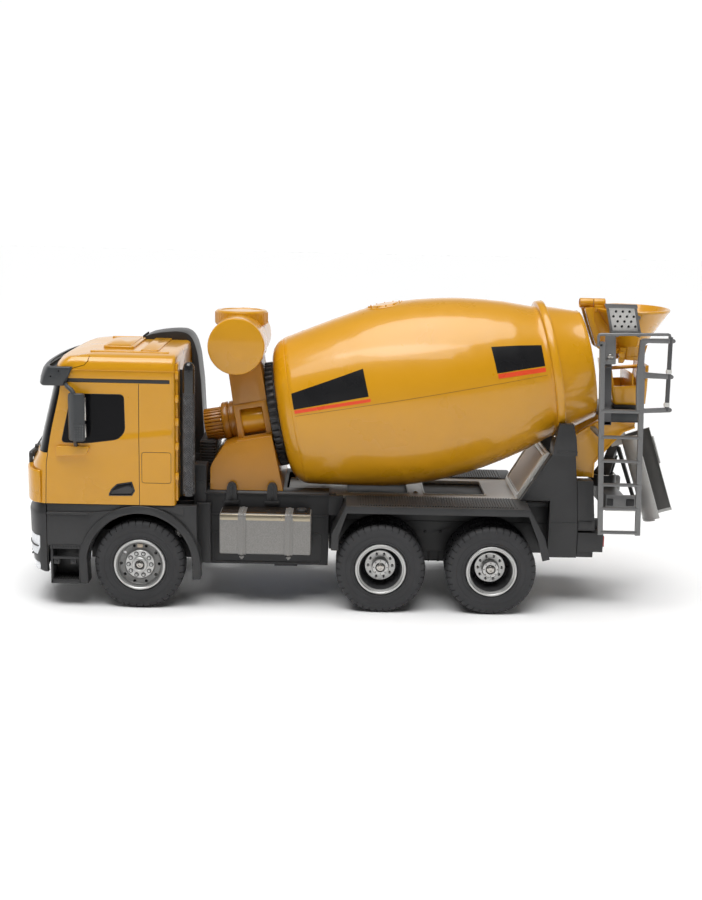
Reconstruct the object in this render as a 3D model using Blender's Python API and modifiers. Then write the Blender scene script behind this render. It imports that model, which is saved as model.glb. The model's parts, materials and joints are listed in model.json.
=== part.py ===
"""Toy cement mixer truck, about 1:15, with a 6x4 chassis, steering front wheels and a turning drum.

Metres, +Z up. The front of the truck points along -X and its left side along -Y. The wheels stand on z = 0.
Each named object is one physical piece. A piece that moves has its origin, or its parent empty, on its axis.
"""

from math import cos, pi, radians, sin, sqrt

import bmesh
import bpy
from mathutils import Matrix, Vector

# Driving dimensions.
GAP = 0.0003  # room between pieces that touch
WALL = 0.0020  # moulded wall
TYRE_RADIUS = 0.0350
TYRE_WIDTH = 0.0190
RIM_RADIUS = 0.0200
WHEEL_FACE_Y = 0.0740  # outer face of every wheel, from the centre plane
FRONT_AXLE_X = -0.1680
MID_AXLE_X = 0.0195
REAR_AXLE_X = 0.1060
KINGPIN_Y = 0.0480
SHAFT_RADIUS = 0.0025
BORE_RADIUS = 0.0029
TIE_ROD_X = FRONT_AXLE_X + 0.0175

RAIL_OUTER_Y = 0.0310
RAIL_WIDTH = 0.0060
RAIL_BOTTOM, RAIL_TOP = 0.0520, 0.0680
TONGUE_Y = 0.0290  # half width of the deck plate's tongue under the drum

CAB_HALF_WIDTH = 0.0735
CAB_REAR_X = -0.1400
CAB_NOSE_X = -0.2612
CAB_BOTTOM = 0.0830

DRUM_TILT = radians(10.5)  # the axis climbs to the rear
DRUM_SEAM = Vector((-0.0502, 0.0, 0.1470))  # where the axis crosses the front seam
TRACK_RADIUS = 0.0567
TRACK_U = 0.2070  # along the axis from the seam
ROLLER_RADIUS = 0.0060
ROLLER_ANGLE = radians(42)  # each side of straight down
PEDESTAL_U = -0.0203  # rear face of the pedestal

CHUTE_YAW = radians(-25)
CHUTE_PITCH = radians(71)  # below level
CHUTE_LENGTH = 0.0714
CHUTE_RADIUS = 0.0195
SWIVEL_X = 0.2030

ROUND_STEPS = 24


# Scene and small helpers.
def collection_named(name):
    found = bpy.data.collections.new(name)
    bpy.context.scene.collection.children.link(found)
    return found


def material(name, colour, roughness, metallic=0.0):
    made = bpy.data.materials.new(name)
    made.use_nodes = True
    shader = made.node_tree.nodes["Principled BSDF"]
    shader.inputs["Base Color"].default_value = (*colour, 1.0)
    shader.inputs["Roughness"].default_value = roughness
    shader.inputs["Metallic"].default_value = metallic
    made.diffuse_color = (*colour, 1.0)
    return made


for old in list(bpy.data.objects):
    bpy.data.objects.remove(old, do_unlink=True)

PARTS = collection_named("toy_cement_mixer")
CUTTERS = collection_named("cutters")

YELLOW = material("yellow_paint", (0.72, 0.38, 0.05), 0.35)
BLACK = material("black_plastic", (0.045, 0.045, 0.048), 0.5)
RUBBER = material("tyre_rubber", (0.05, 0.05, 0.052), 0.8)
SILVER = material("silver_paint", (0.62, 0.62, 0.60), 0.35, 0.6)
GREY = material("grey_metal", (0.28, 0.28, 0.28), 0.4, 0.7)
STEEL = material("steel", (0.55, 0.55, 0.56), 0.3, 1.0)
CHAMPAGNE = material("tank_grey", (0.30, 0.29, 0.27), 0.4, 0.6)
DARK_GREY = material("dark_grey_plastic", (0.11, 0.12, 0.13), 0.45)
GLASS = material("dark_glazing", (0.02, 0.02, 0.025), 0.1)
LENS = material("clear_lens", (0.80, 0.82, 0.85), 0.1)
GREEN = material("circuit_board", (0.05, 0.20, 0.08), 0.5)
BLUE = material("battery_wrap", (0.05, 0.12, 0.35), 0.45)


def mesh_object(name, mesh, finish):
    made = bpy.data.objects.new(name, mesh)
    mesh.materials.clear()
    mesh.materials.append(finish)
    PARTS.objects.link(made)
    return made


def to_mesh(source, finish):
    """The evaluated shape of a curve or modified mesh, welded, facing out, smooth up to 35 degrees."""
    bpy.context.view_layer.update()
    evaluated = source.evaluated_get(bpy.context.evaluated_depsgraph_get())
    mesh = bpy.data.meshes.new_from_object(evaluated)
    name, place = source.name, source.matrix_world.copy()
    bpy.data.objects.remove(source, do_unlink=True)
    bm = bmesh.new()
    bm.from_mesh(mesh)
    bmesh.ops.remove_doubles(bm, verts=bm.verts, dist=1e-6)
    bmesh.ops.recalc_face_normals(bm, faces=bm.faces)
    bm.to_mesh(mesh)
    bm.free()
    mesh.shade_smooth()
    mesh.set_sharp_from_angle(angle=radians(35))
    made = mesh_object(name, mesh, finish)
    made.matrix_world = place
    return made


def box(name, low, high, finish, bevel=0.0):
    size = [h - l for l, h in zip(low, high)]
    middle = [(l + h) / 2 for l, h in zip(low, high)]
    bm = bmesh.new()
    bmesh.ops.create_cube(bm, size=1.0, matrix=Matrix.Diagonal((*size, 1.0)))
    mesh = bpy.data.meshes.new(name)
    bm.to_mesh(mesh)
    bm.free()
    made = mesh_object(name, mesh, finish)
    made.location = middle
    if bevel:
        edge = made.modifiers.new("rounded edges", "BEVEL")
        edge.width = bevel
        edge.segments = 1
    return made


def cylinder(name, start, end, radius, finish, steps=ROUND_STEPS, end_radius=None):
    """A round bar or cone from one point to another."""
    start, end = Vector(start), Vector(end)
    along = end - start
    bm = bmesh.new()
    bmesh.ops.create_cone(
        bm, cap_ends=True, segments=steps, radius1=radius,
        radius2=radius if end_radius is None else end_radius, depth=along.length,
    )
    mesh = bpy.data.meshes.new(name)
    bm.to_mesh(mesh)
    bm.free()
    mesh.shade_smooth()
    mesh.set_sharp_from_angle(angle=radians(35))
    made = mesh_object(name, mesh, finish)
    made.location = (start + end) / 2
    made.rotation_euler = along.to_track_quat("Z", "Y").to_euler()
    return made


# Which way a flat outline's own x, y and thickness point.
PLANES = {"xz": (pi / 2, 0.0, 0.0), "xy": (0.0, 0.0, 0.0), "yz": (pi / 2, 0.0, pi / 2)}
THICKNESS_AXIS = {"xz": 1, "xy": 2, "yz": 0}


def plate(name, outline, plane, low, high, finish):
    """A flat outline in the xz, xy or yz plane, thick from low to high along the third axis."""
    curve = bpy.data.curves.new(name, "CURVE")
    curve.dimensions = "2D"
    curve.fill_mode = "BOTH"
    curve.extrude = (high - low) / 2
    spline = curve.splines.new("POLY")
    spline.points.add(len(outline) - 1)
    for point, (a, b) in zip(spline.points, outline):
        point.co = (a, b, 0.0, 1.0)
    spline.use_cyclic_u = True
    made = bpy.data.objects.new(name, curve)
    PARTS.objects.link(made)
    made.rotation_euler = PLANES[plane]
    made.location[THICKNESS_AXIS[plane]] = (low + high) / 2
    return to_mesh(made, finish)


def turned(name, profile, finish, steps=ROUND_STEPS, closed=True):
    """A profile of (radius, height) points turned about its own Z; an open one starts and ends on the axis."""
    bm = bmesh.new()
    points = [bm.verts.new((radius, 0.0, height)) for radius, height in profile]
    for first, second in zip(points, points[1:] + points[:1] if closed else points[1:]):
        bm.edges.new((first, second))
    mesh = bpy.data.meshes.new(name)
    bm.to_mesh(mesh)
    bm.free()
    made = mesh_object(name, mesh, finish)
    screw = made.modifiers.new("turn", "SCREW")
    screw.steps = screw.render_steps = steps
    screw.use_merge_vertices = True
    screw.merge_threshold = 1e-5
    return to_mesh(made, finish)


def tube(name, points, radius, finish, sides=2):
    """A round bar along straight runs between points."""
    curve = bpy.data.curves.new(name, "CURVE")
    curve.dimensions = "3D"
    curve.bevel_depth = radius
    curve.bevel_resolution = sides
    curve.use_fill_caps = True
    spline = curve.splines.new("POLY")
    spline.points.add(len(points) - 1)
    for point, place in zip(spline.points, points):
        point.co = (*place, 1.0)
    made = bpy.data.objects.new(name, curve)
    PARTS.objects.link(made)
    return to_mesh(made, finish)


def boolean(body, tool, operation):
    step = body.modifiers.new(operation.lower(), "BOOLEAN")
    step.operation = operation
    step.object = tool
    PARTS.objects.unlink(tool)
    CUTTERS.objects.link(tool)
    tool.name = f"{body.name}_tool_{len(body.modifiers)}"
    tool.hide_render = True
    tool.display_type = "WIRE"
    return body


def cut(body, *tools):
    for tool in tools:
        boolean(body, tool, "DIFFERENCE")
    return body


def join(body, *tools):
    for tool in tools:
        boolean(body, tool, "UNION")
    return body


def keep(body, tool):
    return boolean(body, tool, "INTERSECT")


def empty_at(name, place, rotation=(0.0, 0.0, 0.0), parent=None):
    made = bpy.data.objects.new(name, None)
    PARTS.objects.link(made)
    made.empty_display_size = 0.01
    made.location = place
    made.rotation_euler = rotation
    made.parent = parent
    return made


def hang(parent, *pieces):
    """Parents pieces that were made in the parent's own frame, with the tools that shape them."""
    for piece in pieces:
        piece.parent = parent
        for step in piece.modifiers:
            if step.type == "BOOLEAN":
                step.object.parent = parent
    return pieces[0]


def move_origin(piece, place):
    """Puts the piece's origin at a point of the world, on its joint's axis, and leaves its shape in place."""
    bpy.context.view_layer.update()
    piece.data.transform(Matrix.Translation(piece.location - Vector(place)))
    piece.location = place
    return piece


def arc(centre, radius, start, end, count):
    """Points of a circle from one angle to another, in degrees."""
    return [
        (
            centre[0] + radius * cos(radians(start + (end - start) * i / count)),
            centre[1] + radius * sin(radians(start + (end - start) * i / count)),
        )
        for i in range(count + 1)
    ]


def sides():
    """(name, direction of Y) of the left and the right side."""
    return (("left", -1), ("right", 1))


def span(side, near, far):
    """Lowest and highest y of a stretch from near to far out on one side."""
    return (near, far) if side > 0 else (-far, -near)


def side_box(name, side, x, y, z, finish, bevel=0.0):
    low_y, high_y = span(side, *y)
    return box(name, (x[0], low_y, z[0]), (x[1], high_y, z[1]), finish, bevel)


# Chassis.
def frame_rails():
    web = 0.0020
    outer, inner = RAIL_OUTER_Y, RAIL_OUTER_Y - RAIL_WIDTH
    for name, side in sides():
        section = [
            (side * inner, RAIL_BOTTOM), (side * outer, RAIL_BOTTOM), (side * outer, RAIL_TOP),
            (side * inner, RAIL_TOP), (side * inner, RAIL_TOP - web),
            (side * (outer - web), RAIL_TOP - web),
            (side * (outer - web), RAIL_BOTTOM + web), (side * inner, RAIL_BOTTOM + web),
        ]
        plate(f"frame_rail_{name}", section, "yz", -0.2360, 0.1960, BLACK)


def chassis_cover():
    """Inverted tub over the frame, with a floor strip at the front for the power switch."""
    x, y, z = (-0.1205, -0.0220), 0.0475, (0.0305, 0.0895)
    tub = box("chassis_cover", (x[0], -y, z[0]), (x[1], y, z[1]), BLACK)
    inside = box("inside", (x[0] + WALL, -y + WALL, z[0] + WALL), (x[1] - WALL, y - WALL, z[1] - WALL),
        BLACK)
    mouth = box("mouth", (x[0] + 0.0260, -y + WALL, z[0] - WALL), (x[1] - WALL, y - WALL, z[1] - 0.01),
        BLACK)
    slot = box("slot", (-0.1120, -0.0045, z[0] - WALL), (-0.1070, 0.0045, z[0] + 2 * WALL), BLACK)
    rails = [
        side_box(
            "rail_way", side, (x[0] - 0.01, x[1] + 0.01), (RAIL_OUTER_Y - RAIL_WIDTH - 0.001,
                RAIL_OUTER_Y + 0.001),
            (RAIL_BOTTOM - 0.001, RAIL_TOP + 0.001), BLACK,
        )
        for _, side in sides()
    ]
    drum_room = box("drum_room", (-0.0560, -TONGUE_Y - GAP, 0.0820), (0.0, TONGUE_Y + GAP, 0.1000), BLACK)
    cut(tub, inside, mouth, slot, drum_room, *rails)
    knob = box("power_switch", (-0.1110, -0.0037, 0.0280), (-0.1080, 0.0003, 0.0335), DARK_GREY)
    flange = box("flange", (-0.1135, -0.0052, 0.0329), (-0.1055, 0.0018, 0.0341), DARK_GREY)
    join(knob, flange)


def battery_and_board():
    box("battery_pack", (-0.0910, -0.0220, 0.0450), (-0.0300, 0.0220, 0.0650), BLUE, 0.003)
    board = box("control_board", (-0.1060, -0.0220, 0.0740), (-0.0330, 0.0220, 0.0756), GREEN)
    chips = [
        box("chip", (-0.0980, -0.0150, 0.0750), (-0.0840, -0.0010, 0.0785), BLACK),
        box("aerial_can", (-0.0760, 0.0020, 0.0750), (-0.0620, 0.0160, 0.0800), BLACK),
        box("plug_row", (-0.0500, -0.0180, 0.0750), (-0.0420, 0.0150, 0.0810), BLACK),
    ]
    join(board, *chips)


def deck_plate():
    """Silver deck between the rear fenders, bent up into the ramp in front of the rear supports."""
    front, bend, top = -0.0160, 0.1275, (0.1505, 0.1240)
    thick = 0.0020
    level = 0.0850
    outline = [
        (front, level - thick), (bend + 0.0010, level - thick), (top[0] + thick, top[1] - 0.0010),
        top, (bend, level), (front, level),
    ]
    deck = plate("deck_plate", outline, "xz", -0.0365, 0.0365, SILVER)
    join(deck, box("tongue", (-0.0550, -TONGUE_Y, level - thick), (front + 0.0010, TONGUE_Y, level),
        SILVER))
    for low, high in ((-0.0080, 0.0420), (0.0545, 0.1045)):
        cut(deck, box("recess", (low, -0.0250, 0.0800), (high, 0.0250, 0.0900), SILVER))


def rear_fenders():
    """Bent strip over the two rear wheels, with a lip along its outer edge."""
    level, thick, lip = 0.0855, 0.0025, 0.0060

    def band(depth):
        outer = [(-0.0210, 0.0560), (-0.0195, 0.0660), (-0.0085, level), (0.1340, level), (0.1465, 0.0620),
                 (0.1510, 0.0460)]
        inner = [(0.1510 - depth, 0.0460), (0.1465 - depth, 0.0610), (0.1340 - 0.6 * depth, level - depth),
                 (-0.0085 + 0.6 * depth, level - depth), (-0.0195 + depth, 0.0650),
                 (-0.0210 + depth, 0.0560)]
        return outer + inner

    for name, side in sides():
        strip = plate(f"rear_fender_{name}", band(thick), "xz", *span(side, 0.0370, 0.0730), BLACK)
        edge = plate("edge", band(lip), "xz", *span(side, 0.0720, 0.0740), BLACK)
        join(strip, edge)


def fuel_tanks():
    x, z = (-0.1065, -0.0350), (0.0440, 0.0770)
    for name, side in sides():
        tank = side_box(f"fuel_tank_{name}", side, x, (0.0480, 0.0712), z, CHAMPAGNE, 0.0025)
        for middle in (-0.0890, -0.0530):
            strap = side_box(
                "strap", side, (middle - 0.0030, middle + 0.0030), (0.0482, 0.0720),
                (z[0] - 0.0008, z[1] + 0.0008), CHAMPAGNE, 0.0025,
            )
            join(tank, strap)


def rear_drive():
    """Gearbox casing with a tube for each driven axle, its motor, two shafts and the eight rear wheels."""
    z = TYRE_RADIUS
    casing = box("rear_drive_gearbox", (0.0120, -0.0150, 0.0260), (0.1135, 0.0150, 0.0500), BLACK, 0.002)
    for x in (MID_AXLE_X, REAR_AXLE_X):
        join(
            casing,
            cylinder("bulge", (x, -0.0160, z), (x, 0.0160, z), 0.0140, BLACK),
            cylinder("axle_tube", (x, -0.0330, z), (x, 0.0330, z), 0.0070, BLACK, 16),
        )
    for x in (MID_AXLE_X, REAR_AXLE_X):
        cut(casing, cylinder("bore", (x, -0.0400, z), (x, 0.0400, z), BORE_RADIUS, BLACK, 12))
    motor = cylinder("drive_motor", (0.0440, 0.0, 0.0640), (0.0750, 0.0, 0.0640), 0.0120, STEEL)
    join(motor, cylinder("boss", (0.0400, 0.0, 0.0640), (0.0450, 0.0, 0.0640), 0.0040, STEEL, 16))
    for name, x in (("mid", MID_AXLE_X), ("rear", REAR_AXLE_X)):
        cylinder(f"{name}_axle_shaft", (x, -0.0612, z), (x, 0.0612, z), SHAFT_RADIUS, STEEL, 12)
        for side_name, side in sides():
            place = (x, side * WHEEL_FACE_Y, z)
            turn = (-side * pi / 2, 0.0, 0.0)
            for piece in (dual_rim(f"{name}_rim_{side_name}"), dual_tyre(f"{name}_tyre_{side_name}")):
                piece.location, piece.rotation_euler = place, turn


def tyre_side(start, direction):
    """One shoulder of a tyre: (radius, height) points from the bead out to the tread."""
    return [
        (radius, start + direction * inset)
        for radius, inset in ((RIM_RADIUS + 0.0004, 0.0015), (0.0270, 0.0), (0.0325, 0.0008),
            (TYRE_RADIUS, 0.0035))
    ]


def single_tyre(name):
    profile = tyre_side(0.0, -1) + tyre_side(-TYRE_WIDTH, 1)[::-1]
    return turned(name, profile, RUBBER, 24)


def dual_tyre(name):
    """Two treads moulded as one rubber ring, with a groove between them."""
    pitch = 0.0205
    groove = 0.0275
    outer_foot = tyre_side(-TYRE_WIDTH, 1)[::-1][:2]
    inner_head = tyre_side(-pitch, -1)[2:]
    middle = -(TYRE_WIDTH + pitch) / 2
    profile = (
        tyre_side(0.0, -1) + outer_foot + [(groove, middle + 0.0004), (groove, middle - 0.0004)]
        + inner_head + tyre_side(-pitch - TYRE_WIDTH, 1)[::-1]
    )
    return turned(name, profile, RUBBER, 24)


def front_rim(name):
    profile = [
        (0.0, 0.0), (0.0055, 0.0), (0.0055, -0.0030), (0.0113, -0.0030), (0.0117, -0.0042),
        (0.0160, -0.0042),
        (0.0168, -0.0008), (RIM_RADIUS, -0.0008), (RIM_RADIUS, -0.0185), (0.0165, -0.0185),
        (0.0165, -0.0065),
        (0.0060, -0.0065), (0.0060, -0.0180), (BORE_RADIUS, -0.0180), (BORE_RADIUS, -0.0050),
        (0.0, -0.0050),
    ]
    return turned(name, profile, SILVER, 20, closed=False)


def dual_rim(name):
    length = 0.0395
    profile = [
        (0.0, -0.0070), (0.0065, -0.0070), (0.0065, -0.0150), (0.0123, -0.0150), (0.0123, -0.0165),
        (0.0160, -0.0165), (0.0167, -0.0008), (RIM_RADIUS, -0.0008), (RIM_RADIUS, -length),
        (0.0165, -length),
        (0.0165, -0.0200), (0.0062, -0.0200), (0.0062, -length), (BORE_RADIUS, -length),
        (BORE_RADIUS, -0.0120),
        (0.0, -0.0120),
    ]
    return turned(name, profile, SILVER, 20, closed=False)


def front_axle():
    x, z, y = FRONT_AXLE_X, TYRE_RADIUS, KINGPIN_Y
    beam = box("front_axle_beam", (x - 0.0050, -0.0415, 0.0300), (x + 0.0050, 0.0415, 0.0400), BLACK)
    for _, side in sides():
        join(
            beam,
            side_box("web", side, (x - 0.0050, x + 0.0050), (0.0385, 0.0415), (0.0200, 0.0500), BLACK),
            side_box("upper_lug", side, (x - 0.0050, x + 0.0050), (0.0400, y + 0.0045), (0.0460,
                0.0500), BLACK),
            side_box("lower_lug", side, (x - 0.0050, x + 0.0050), (0.0400, y + 0.0045), (0.0200,
                0.0240), BLACK),
            side_box("hanger", side, (x - 0.0050, x + 0.0050), (0.0252, 0.0308), (0.0390, 0.0517), BLACK),
        )
    for _, side in sides():
        cut(beam, cylinder("pin_bore", (x, side * y, 0.0150), (x, side * y, 0.0550), 0.0024, BLACK, 12))
    for name, side in sides():
        knuckle = side_box(
            f"steering_knuckle_{name}", side, (x - 0.0042, x + 0.0042), (y - 0.0042, y + 0.0045),
            (0.0248, 0.0452), DARK_GREY,
        )
        join(
            knuckle,
            cylinder("kingpin", (x, side * y, 0.0205), (x, side * y, 0.0495), 0.0020, DARK_GREY, 12),
            cylinder("stub", (x, side * y, z), (x, side * 0.0682, z), SHAFT_RADIUS, DARK_GREY, 12),
            side_box("arm", side, (x + 0.0030, TIE_ROD_X + 0.0025), (y - 0.0025, y + 0.0025), (0.0270,
                0.0300),
                     DARK_GREY),
            cylinder("arm_pin", (TIE_ROD_X, side * y, 0.0290), (TIE_ROD_X, side * y, 0.0350), 0.0014,
                     DARK_GREY, 12),
        )
        move_origin(knuckle, (x, side * y, z))
        place, turn = (x, side * WHEEL_FACE_Y, z), (-side * pi / 2, 0.0, 0.0)
        for piece in (front_rim(f"front_rim_{name}"), single_tyre(f"front_tyre_{name}")):
            piece.location, piece.rotation_euler = place, turn
    rod = box("tie_rod", (TIE_ROD_X - 0.0015, -y, 0.0305), (TIE_ROD_X + 0.0015, y, 0.0335), STEEL)
    for _, side in sides():
        join(rod, side_box("eye", side, (TIE_ROD_X - 0.0048, TIE_ROD_X + 0.0038), (y - 0.0042, y + 0.0038),
                           (0.0303, 0.0337), STEEL))
    for _, side in sides():
        cut(rod, side_box("slot", side, (TIE_ROD_X - 0.0036, TIE_ROD_X + 0.0021), (y - 0.0021, y + 0.0021),
                          (0.0200, 0.0400), STEEL))
    box("steering_servo", (-0.2150, -0.0180, 0.0440), (-0.1900, 0.0180, 0.0665), DARK_GREY, 0.001)


# Cab.
def nose_curve(nose, half_width, side_x, count=8):
    """Points of the cab's front in plan, from the left side round the nose to the right side."""
    return [
        (side_x + (nose - side_x) * sqrt(max(0.0, 1 - abs(s) ** 3)), half_width * s)
        for s in (-cos(pi * i / count) for i in range(count + 1))
    ]


def plan_solid(name, inset, low, high, finish):
    """The cab's outline in plan, made smaller by an inset."""
    half = CAB_HALF_WIDTH - inset
    rear = CAB_REAR_X - inset
    outline = nose_curve(CAB_NOSE_X + inset, half, -0.2395, 12)
    outline += [(rear - 0.0030, half), (rear, half - 0.0030), (rear, -half + 0.0030), (rear - 0.0030,
        -half)]
    return plate(name, outline, "xy", low, high, finish)


def cab_profile(inset, low):
    """The cab's outline from the side, made smaller by an inset."""
    i = inset
    return [
        (CAB_REAR_X - i, low), (CAB_REAR_X - i, 0.1900 - i), (CAB_REAR_X - 0.0020 - i, 0.1945 - i),
        (CAB_REAR_X - 0.0065 - i, 0.1965 - i),
        (-0.2180 + i, 0.1985 - i), (-0.2290 + i, 0.1965 - i), (-0.2355 + i, 0.1910 - i),
        (-0.2375 + i, 0.1780),
        (-0.2520 + i, 0.1200), (-0.2600 + i, 0.1120), (CAB_NOSE_X + i, 0.1000), (CAB_NOSE_X + i, low),
    ]


def cab_body(name, inset, low, finish):
    body = plate(name, cab_profile(inset, low), "xz", -0.0800, 0.0800, finish)
    keep(body, plan_solid("plan", inset, 0.0700, 0.2100, finish))
    return to_mesh(body, finish)


def side_window_outline(grow):
    g = grow
    return [
        (-0.2270 - g, 0.1310 - g), (-0.2205 - g, 0.1690 + g), (-0.1800 + g, 0.1690 + g),
        (-0.1775 + g, 0.1660),
        (-0.1790 + g, 0.1400), (-0.1850, 0.1310 - g),
    ]


def cab():
    shell = cab_body("cab_shell", 0.0, CAB_BOTTOM, YELLOW)
    hollow = cab_body("hollow", WALL, CAB_BOTTOM - 0.0100, YELLOW)
    cut(shell, hollow)
    cut(shell, plate("side_windows", side_window_outline(0.0), "xz", -0.0900, 0.0900, YELLOW))
    screen = [(-0.2700, 0.1270), (-0.2300, 0.1270), (-0.2200, 0.1740), (-0.2700, 0.1740)]
    screen_cut = plate("screen", screen, "xz", -0.0640, 0.0640, YELLOW)
    cut(shell, screen_cut)

    glazing = cab_body("cab_glazing", WALL + GAP, 0.0900, GLASS)
    cut(glazing, cab_body("glazing_inside", WALL + GAP + 0.0012, 0.0800, GLASS))
    keep(glazing, box("glazing_band", (-0.2700, -0.0800, 0.1210), (-0.1700, 0.0800, 0.1780), GLASS))

    arch = 0.0400
    for name, side in sides():
        y = span(side, 0.0655, 0.0725)
        skirt_outline = [(-0.2370, 0.0400), (-0.2120, 0.0400), (-0.2080, 0.0350)]
        skirt_outline += arc((FRONT_AXLE_X, TYRE_RADIUS), arch, 180, 0, 14)
        skirt_outline += [(-0.1225, TYRE_RADIUS), (-0.1225, 0.0820), (-0.2370, 0.0820)]
        skirt = plate(f"cab_skirt_{name}", skirt_outline, "xz", *y, BLACK)
        flare = arc((FRONT_AXLE_X, TYRE_RADIUS), arch, 200, -20, 16)
        flare += arc((FRONT_AXLE_X, TYRE_RADIUS), arch + 0.0065, -20, 200, 16)
        join(
            skirt,
            plate("flare", flare, "xz", *span(side, 0.0650, 0.0745), BLACK),
            side_box("upper_step", side, (-0.2372, -0.2128), (0.0540, 0.0735), (0.0440, 0.0500), BLACK),
            side_box("lower_step", side, (-0.2368, -0.2132), (0.0540, 0.0732), (0.0190, 0.0250), BLACK),
            side_box("step_back", side, (-0.2366, -0.2134), (0.0535, 0.0560), (0.0195, 0.0495), BLACK),
            side_box("step_edge", side, (-0.2366, -0.2336), (0.0550, 0.0730), (0.0200, 0.0490), BLACK),
        )

    bumper_outline = nose_curve(CAB_NOSE_X, CAB_HALF_WIDTH, -0.2395, 12)
    bumper_outline += nose_curve(CAB_NOSE_X + 0.0070, CAB_HALF_WIDTH - 0.0070, -0.2380, 12)[::-1]
    bumper = plate("bumper", bumper_outline, "xy", 0.0270, 0.0824, BLACK)
    for name, side in sides():
        cut(bumper, side_box("lamp_pocket", side, (-0.2640, -0.2433), (0.0480, 0.0760), (0.0430,
            0.0580), BLACK))
    for name, side in sides():
        lamp_outline = [(a, b) for a, b in nose_curve(CAB_NOSE_X + 0.0006, CAB_HALF_WIDTH - 0.0006,
            -0.2395, 24)]
        lamp_outline += [(a, b) for a, b in nose_curve(CAB_NOSE_X + 0.0060, CAB_HALF_WIDTH - 0.0060,
            -0.2385, 24)][::-1]
        lamp = plate(f"headlamp_{name}", lamp_outline, "xy", 0.0430 + GAP, 0.0580 - GAP, LENS)
        keep(lamp, side_box("lamp_part", side, (-0.2640, -0.2436), (0.0480 + GAP, 0.0740),
                            (0.0400, 0.0600), LENS))

    def visor_curve(nose, half_width, side_x):
        return [(-0.2200, -half_width), *nose_curve(nose, half_width, side_x, 12), (-0.2200, half_width)]

    outer = visor_curve(-0.2475, 0.0765, -0.2395)
    inner = visor_curve(-0.2458, 0.0748, -0.2392)
    visor = plate("sun_visor", outer + inner[::-1], "xy", 0.1760, 0.1895, DARK_GREY)
    close = visor_curve(-0.2388, CAB_HALF_WIDTH + GAP, -0.2380)
    brim = plate("brim", outer + close[::-1], "xy", 0.1880, 0.1897, DARK_GREY)
    join(visor, brim)

    for name, side in sides():
        mirror = side_box(f"mirror_{name}", side, (-0.2215, -0.2085), (0.0790, 0.0850), (0.1316, 0.1694),
                          DARK_GREY, 0.0020)
        for z in (0.1660, 0.1350):
            join(mirror, side_box("arm", side, (-0.2165, -0.2135), (CAB_HALF_WIDTH + GAP, 0.0810),
                                  (z - 0.0015, z + 0.0015), DARK_GREY))
        join(mirror, side_box("low_mirror", side, (-0.2235, -0.2100), (0.0770, 0.0835), (0.1220, 0.1325),
                              DARK_GREY))


def behind_cab():
    duct = [
        (-0.1810, 0.1990), (-0.1740, 0.2045), (-0.1560, 0.2065), (-0.1410, 0.2050), (-0.1310, 0.1985),
        (-0.1265, 0.1880), (-0.1235, 0.1500), (-0.1225, 0.1000), (-0.1390, 0.1000), (-0.1393, 0.1935),
        (-0.1415, 0.1975), (-0.1460, 0.1990),
    ]
    plate("intake_duct", duct, "xz", 0.0350, 0.0670, BLACK)
    pipe = [(0.0, 0.1941), (0.0030, 0.1929), (0.0042, 0.1891), (0.0042, 0.0905), (0.0, 0.0905)]
    snorkel = turned("snorkel", pipe, BLACK, 14, closed=False)
    snorkel.location = (-0.1299, -0.0697, 0.0)


# Mixer.
def along_drum(u, radius=0.0):
    """Point on the drum's axis, u from the seam, or below it by a radius."""
    return DRUM_SEAM + Vector((u * cos(DRUM_TILT) + radius * sin(DRUM_TILT), 0.0,
                               u * sin(DRUM_TILT) - radius * cos(DRUM_TILT)))


DRUM_TURN = (0.0, pi / 2 - DRUM_TILT, 0.0)  # own Z along the drum's axis


def drum():
    axis = empty_at("drum_axis", DRUM_SEAM, DRUM_TURN)
    outside = [
        (0.0, -0.0120), (0.0420, -0.0120), (0.0500, -0.0105), (0.0560, -0.0060), (0.0602, 0.0),
        (0.0723, 0.0620),
        (0.0746, 0.0820), (0.0742, 0.1040), (0.0718, 0.1280), (0.0655, 0.1620), (0.0535, 0.2000),
        (0.0530, TRACK_U - 0.0030), (TRACK_RADIUS, TRACK_U - 0.0026), (TRACK_RADIUS, TRACK_U + 0.0026),
        (0.0520, TRACK_U + 0.0034), (0.0430, 0.2360), (0.0360, 0.2380),
    ]
    inside = [
        (0.0360, 0.2355), (0.0412, 0.2340), (0.0515, 0.2000), (0.0634, 0.1620), (0.0697, 0.1280),
        (0.0722, 0.1040),
        (0.0725, 0.0820), (0.0702, 0.0620), (0.0580, 0.0010), (0.0480, -0.0085), (0.0, -0.0095),
    ]
    shell = turned("drum_shell", outside + inside, YELLOW, 36, closed=False)
    hatch = cylinder("hatch", (-0.0680, 0.0, 0.0850), (-0.0762, 0.0, 0.0850), 0.0165, YELLOW)
    join(shell, hatch)
    hang(axis, shell)

    teeth, tip, root = 48, 0.0425, 0.0403
    step = 2 * pi / teeth
    rim = []
    for tooth in range(teeth):
        for share, radius in ((0.0, root), (0.14, tip), (0.48, tip), (0.62, root)):
            angle = (tooth + share) * step
            rim.append((radius * cos(angle), radius * sin(angle)))
    gear = plate("drum_ring_gear", rim, "xy", -0.0192, -0.0120 - GAP, BLACK)
    join(gear, cylinder("shaft", (0.0, 0.0, -0.0360), (0.0, 0.0, -0.0150), 0.0060, BLACK, 20))
    hang(axis, gear)


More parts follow.
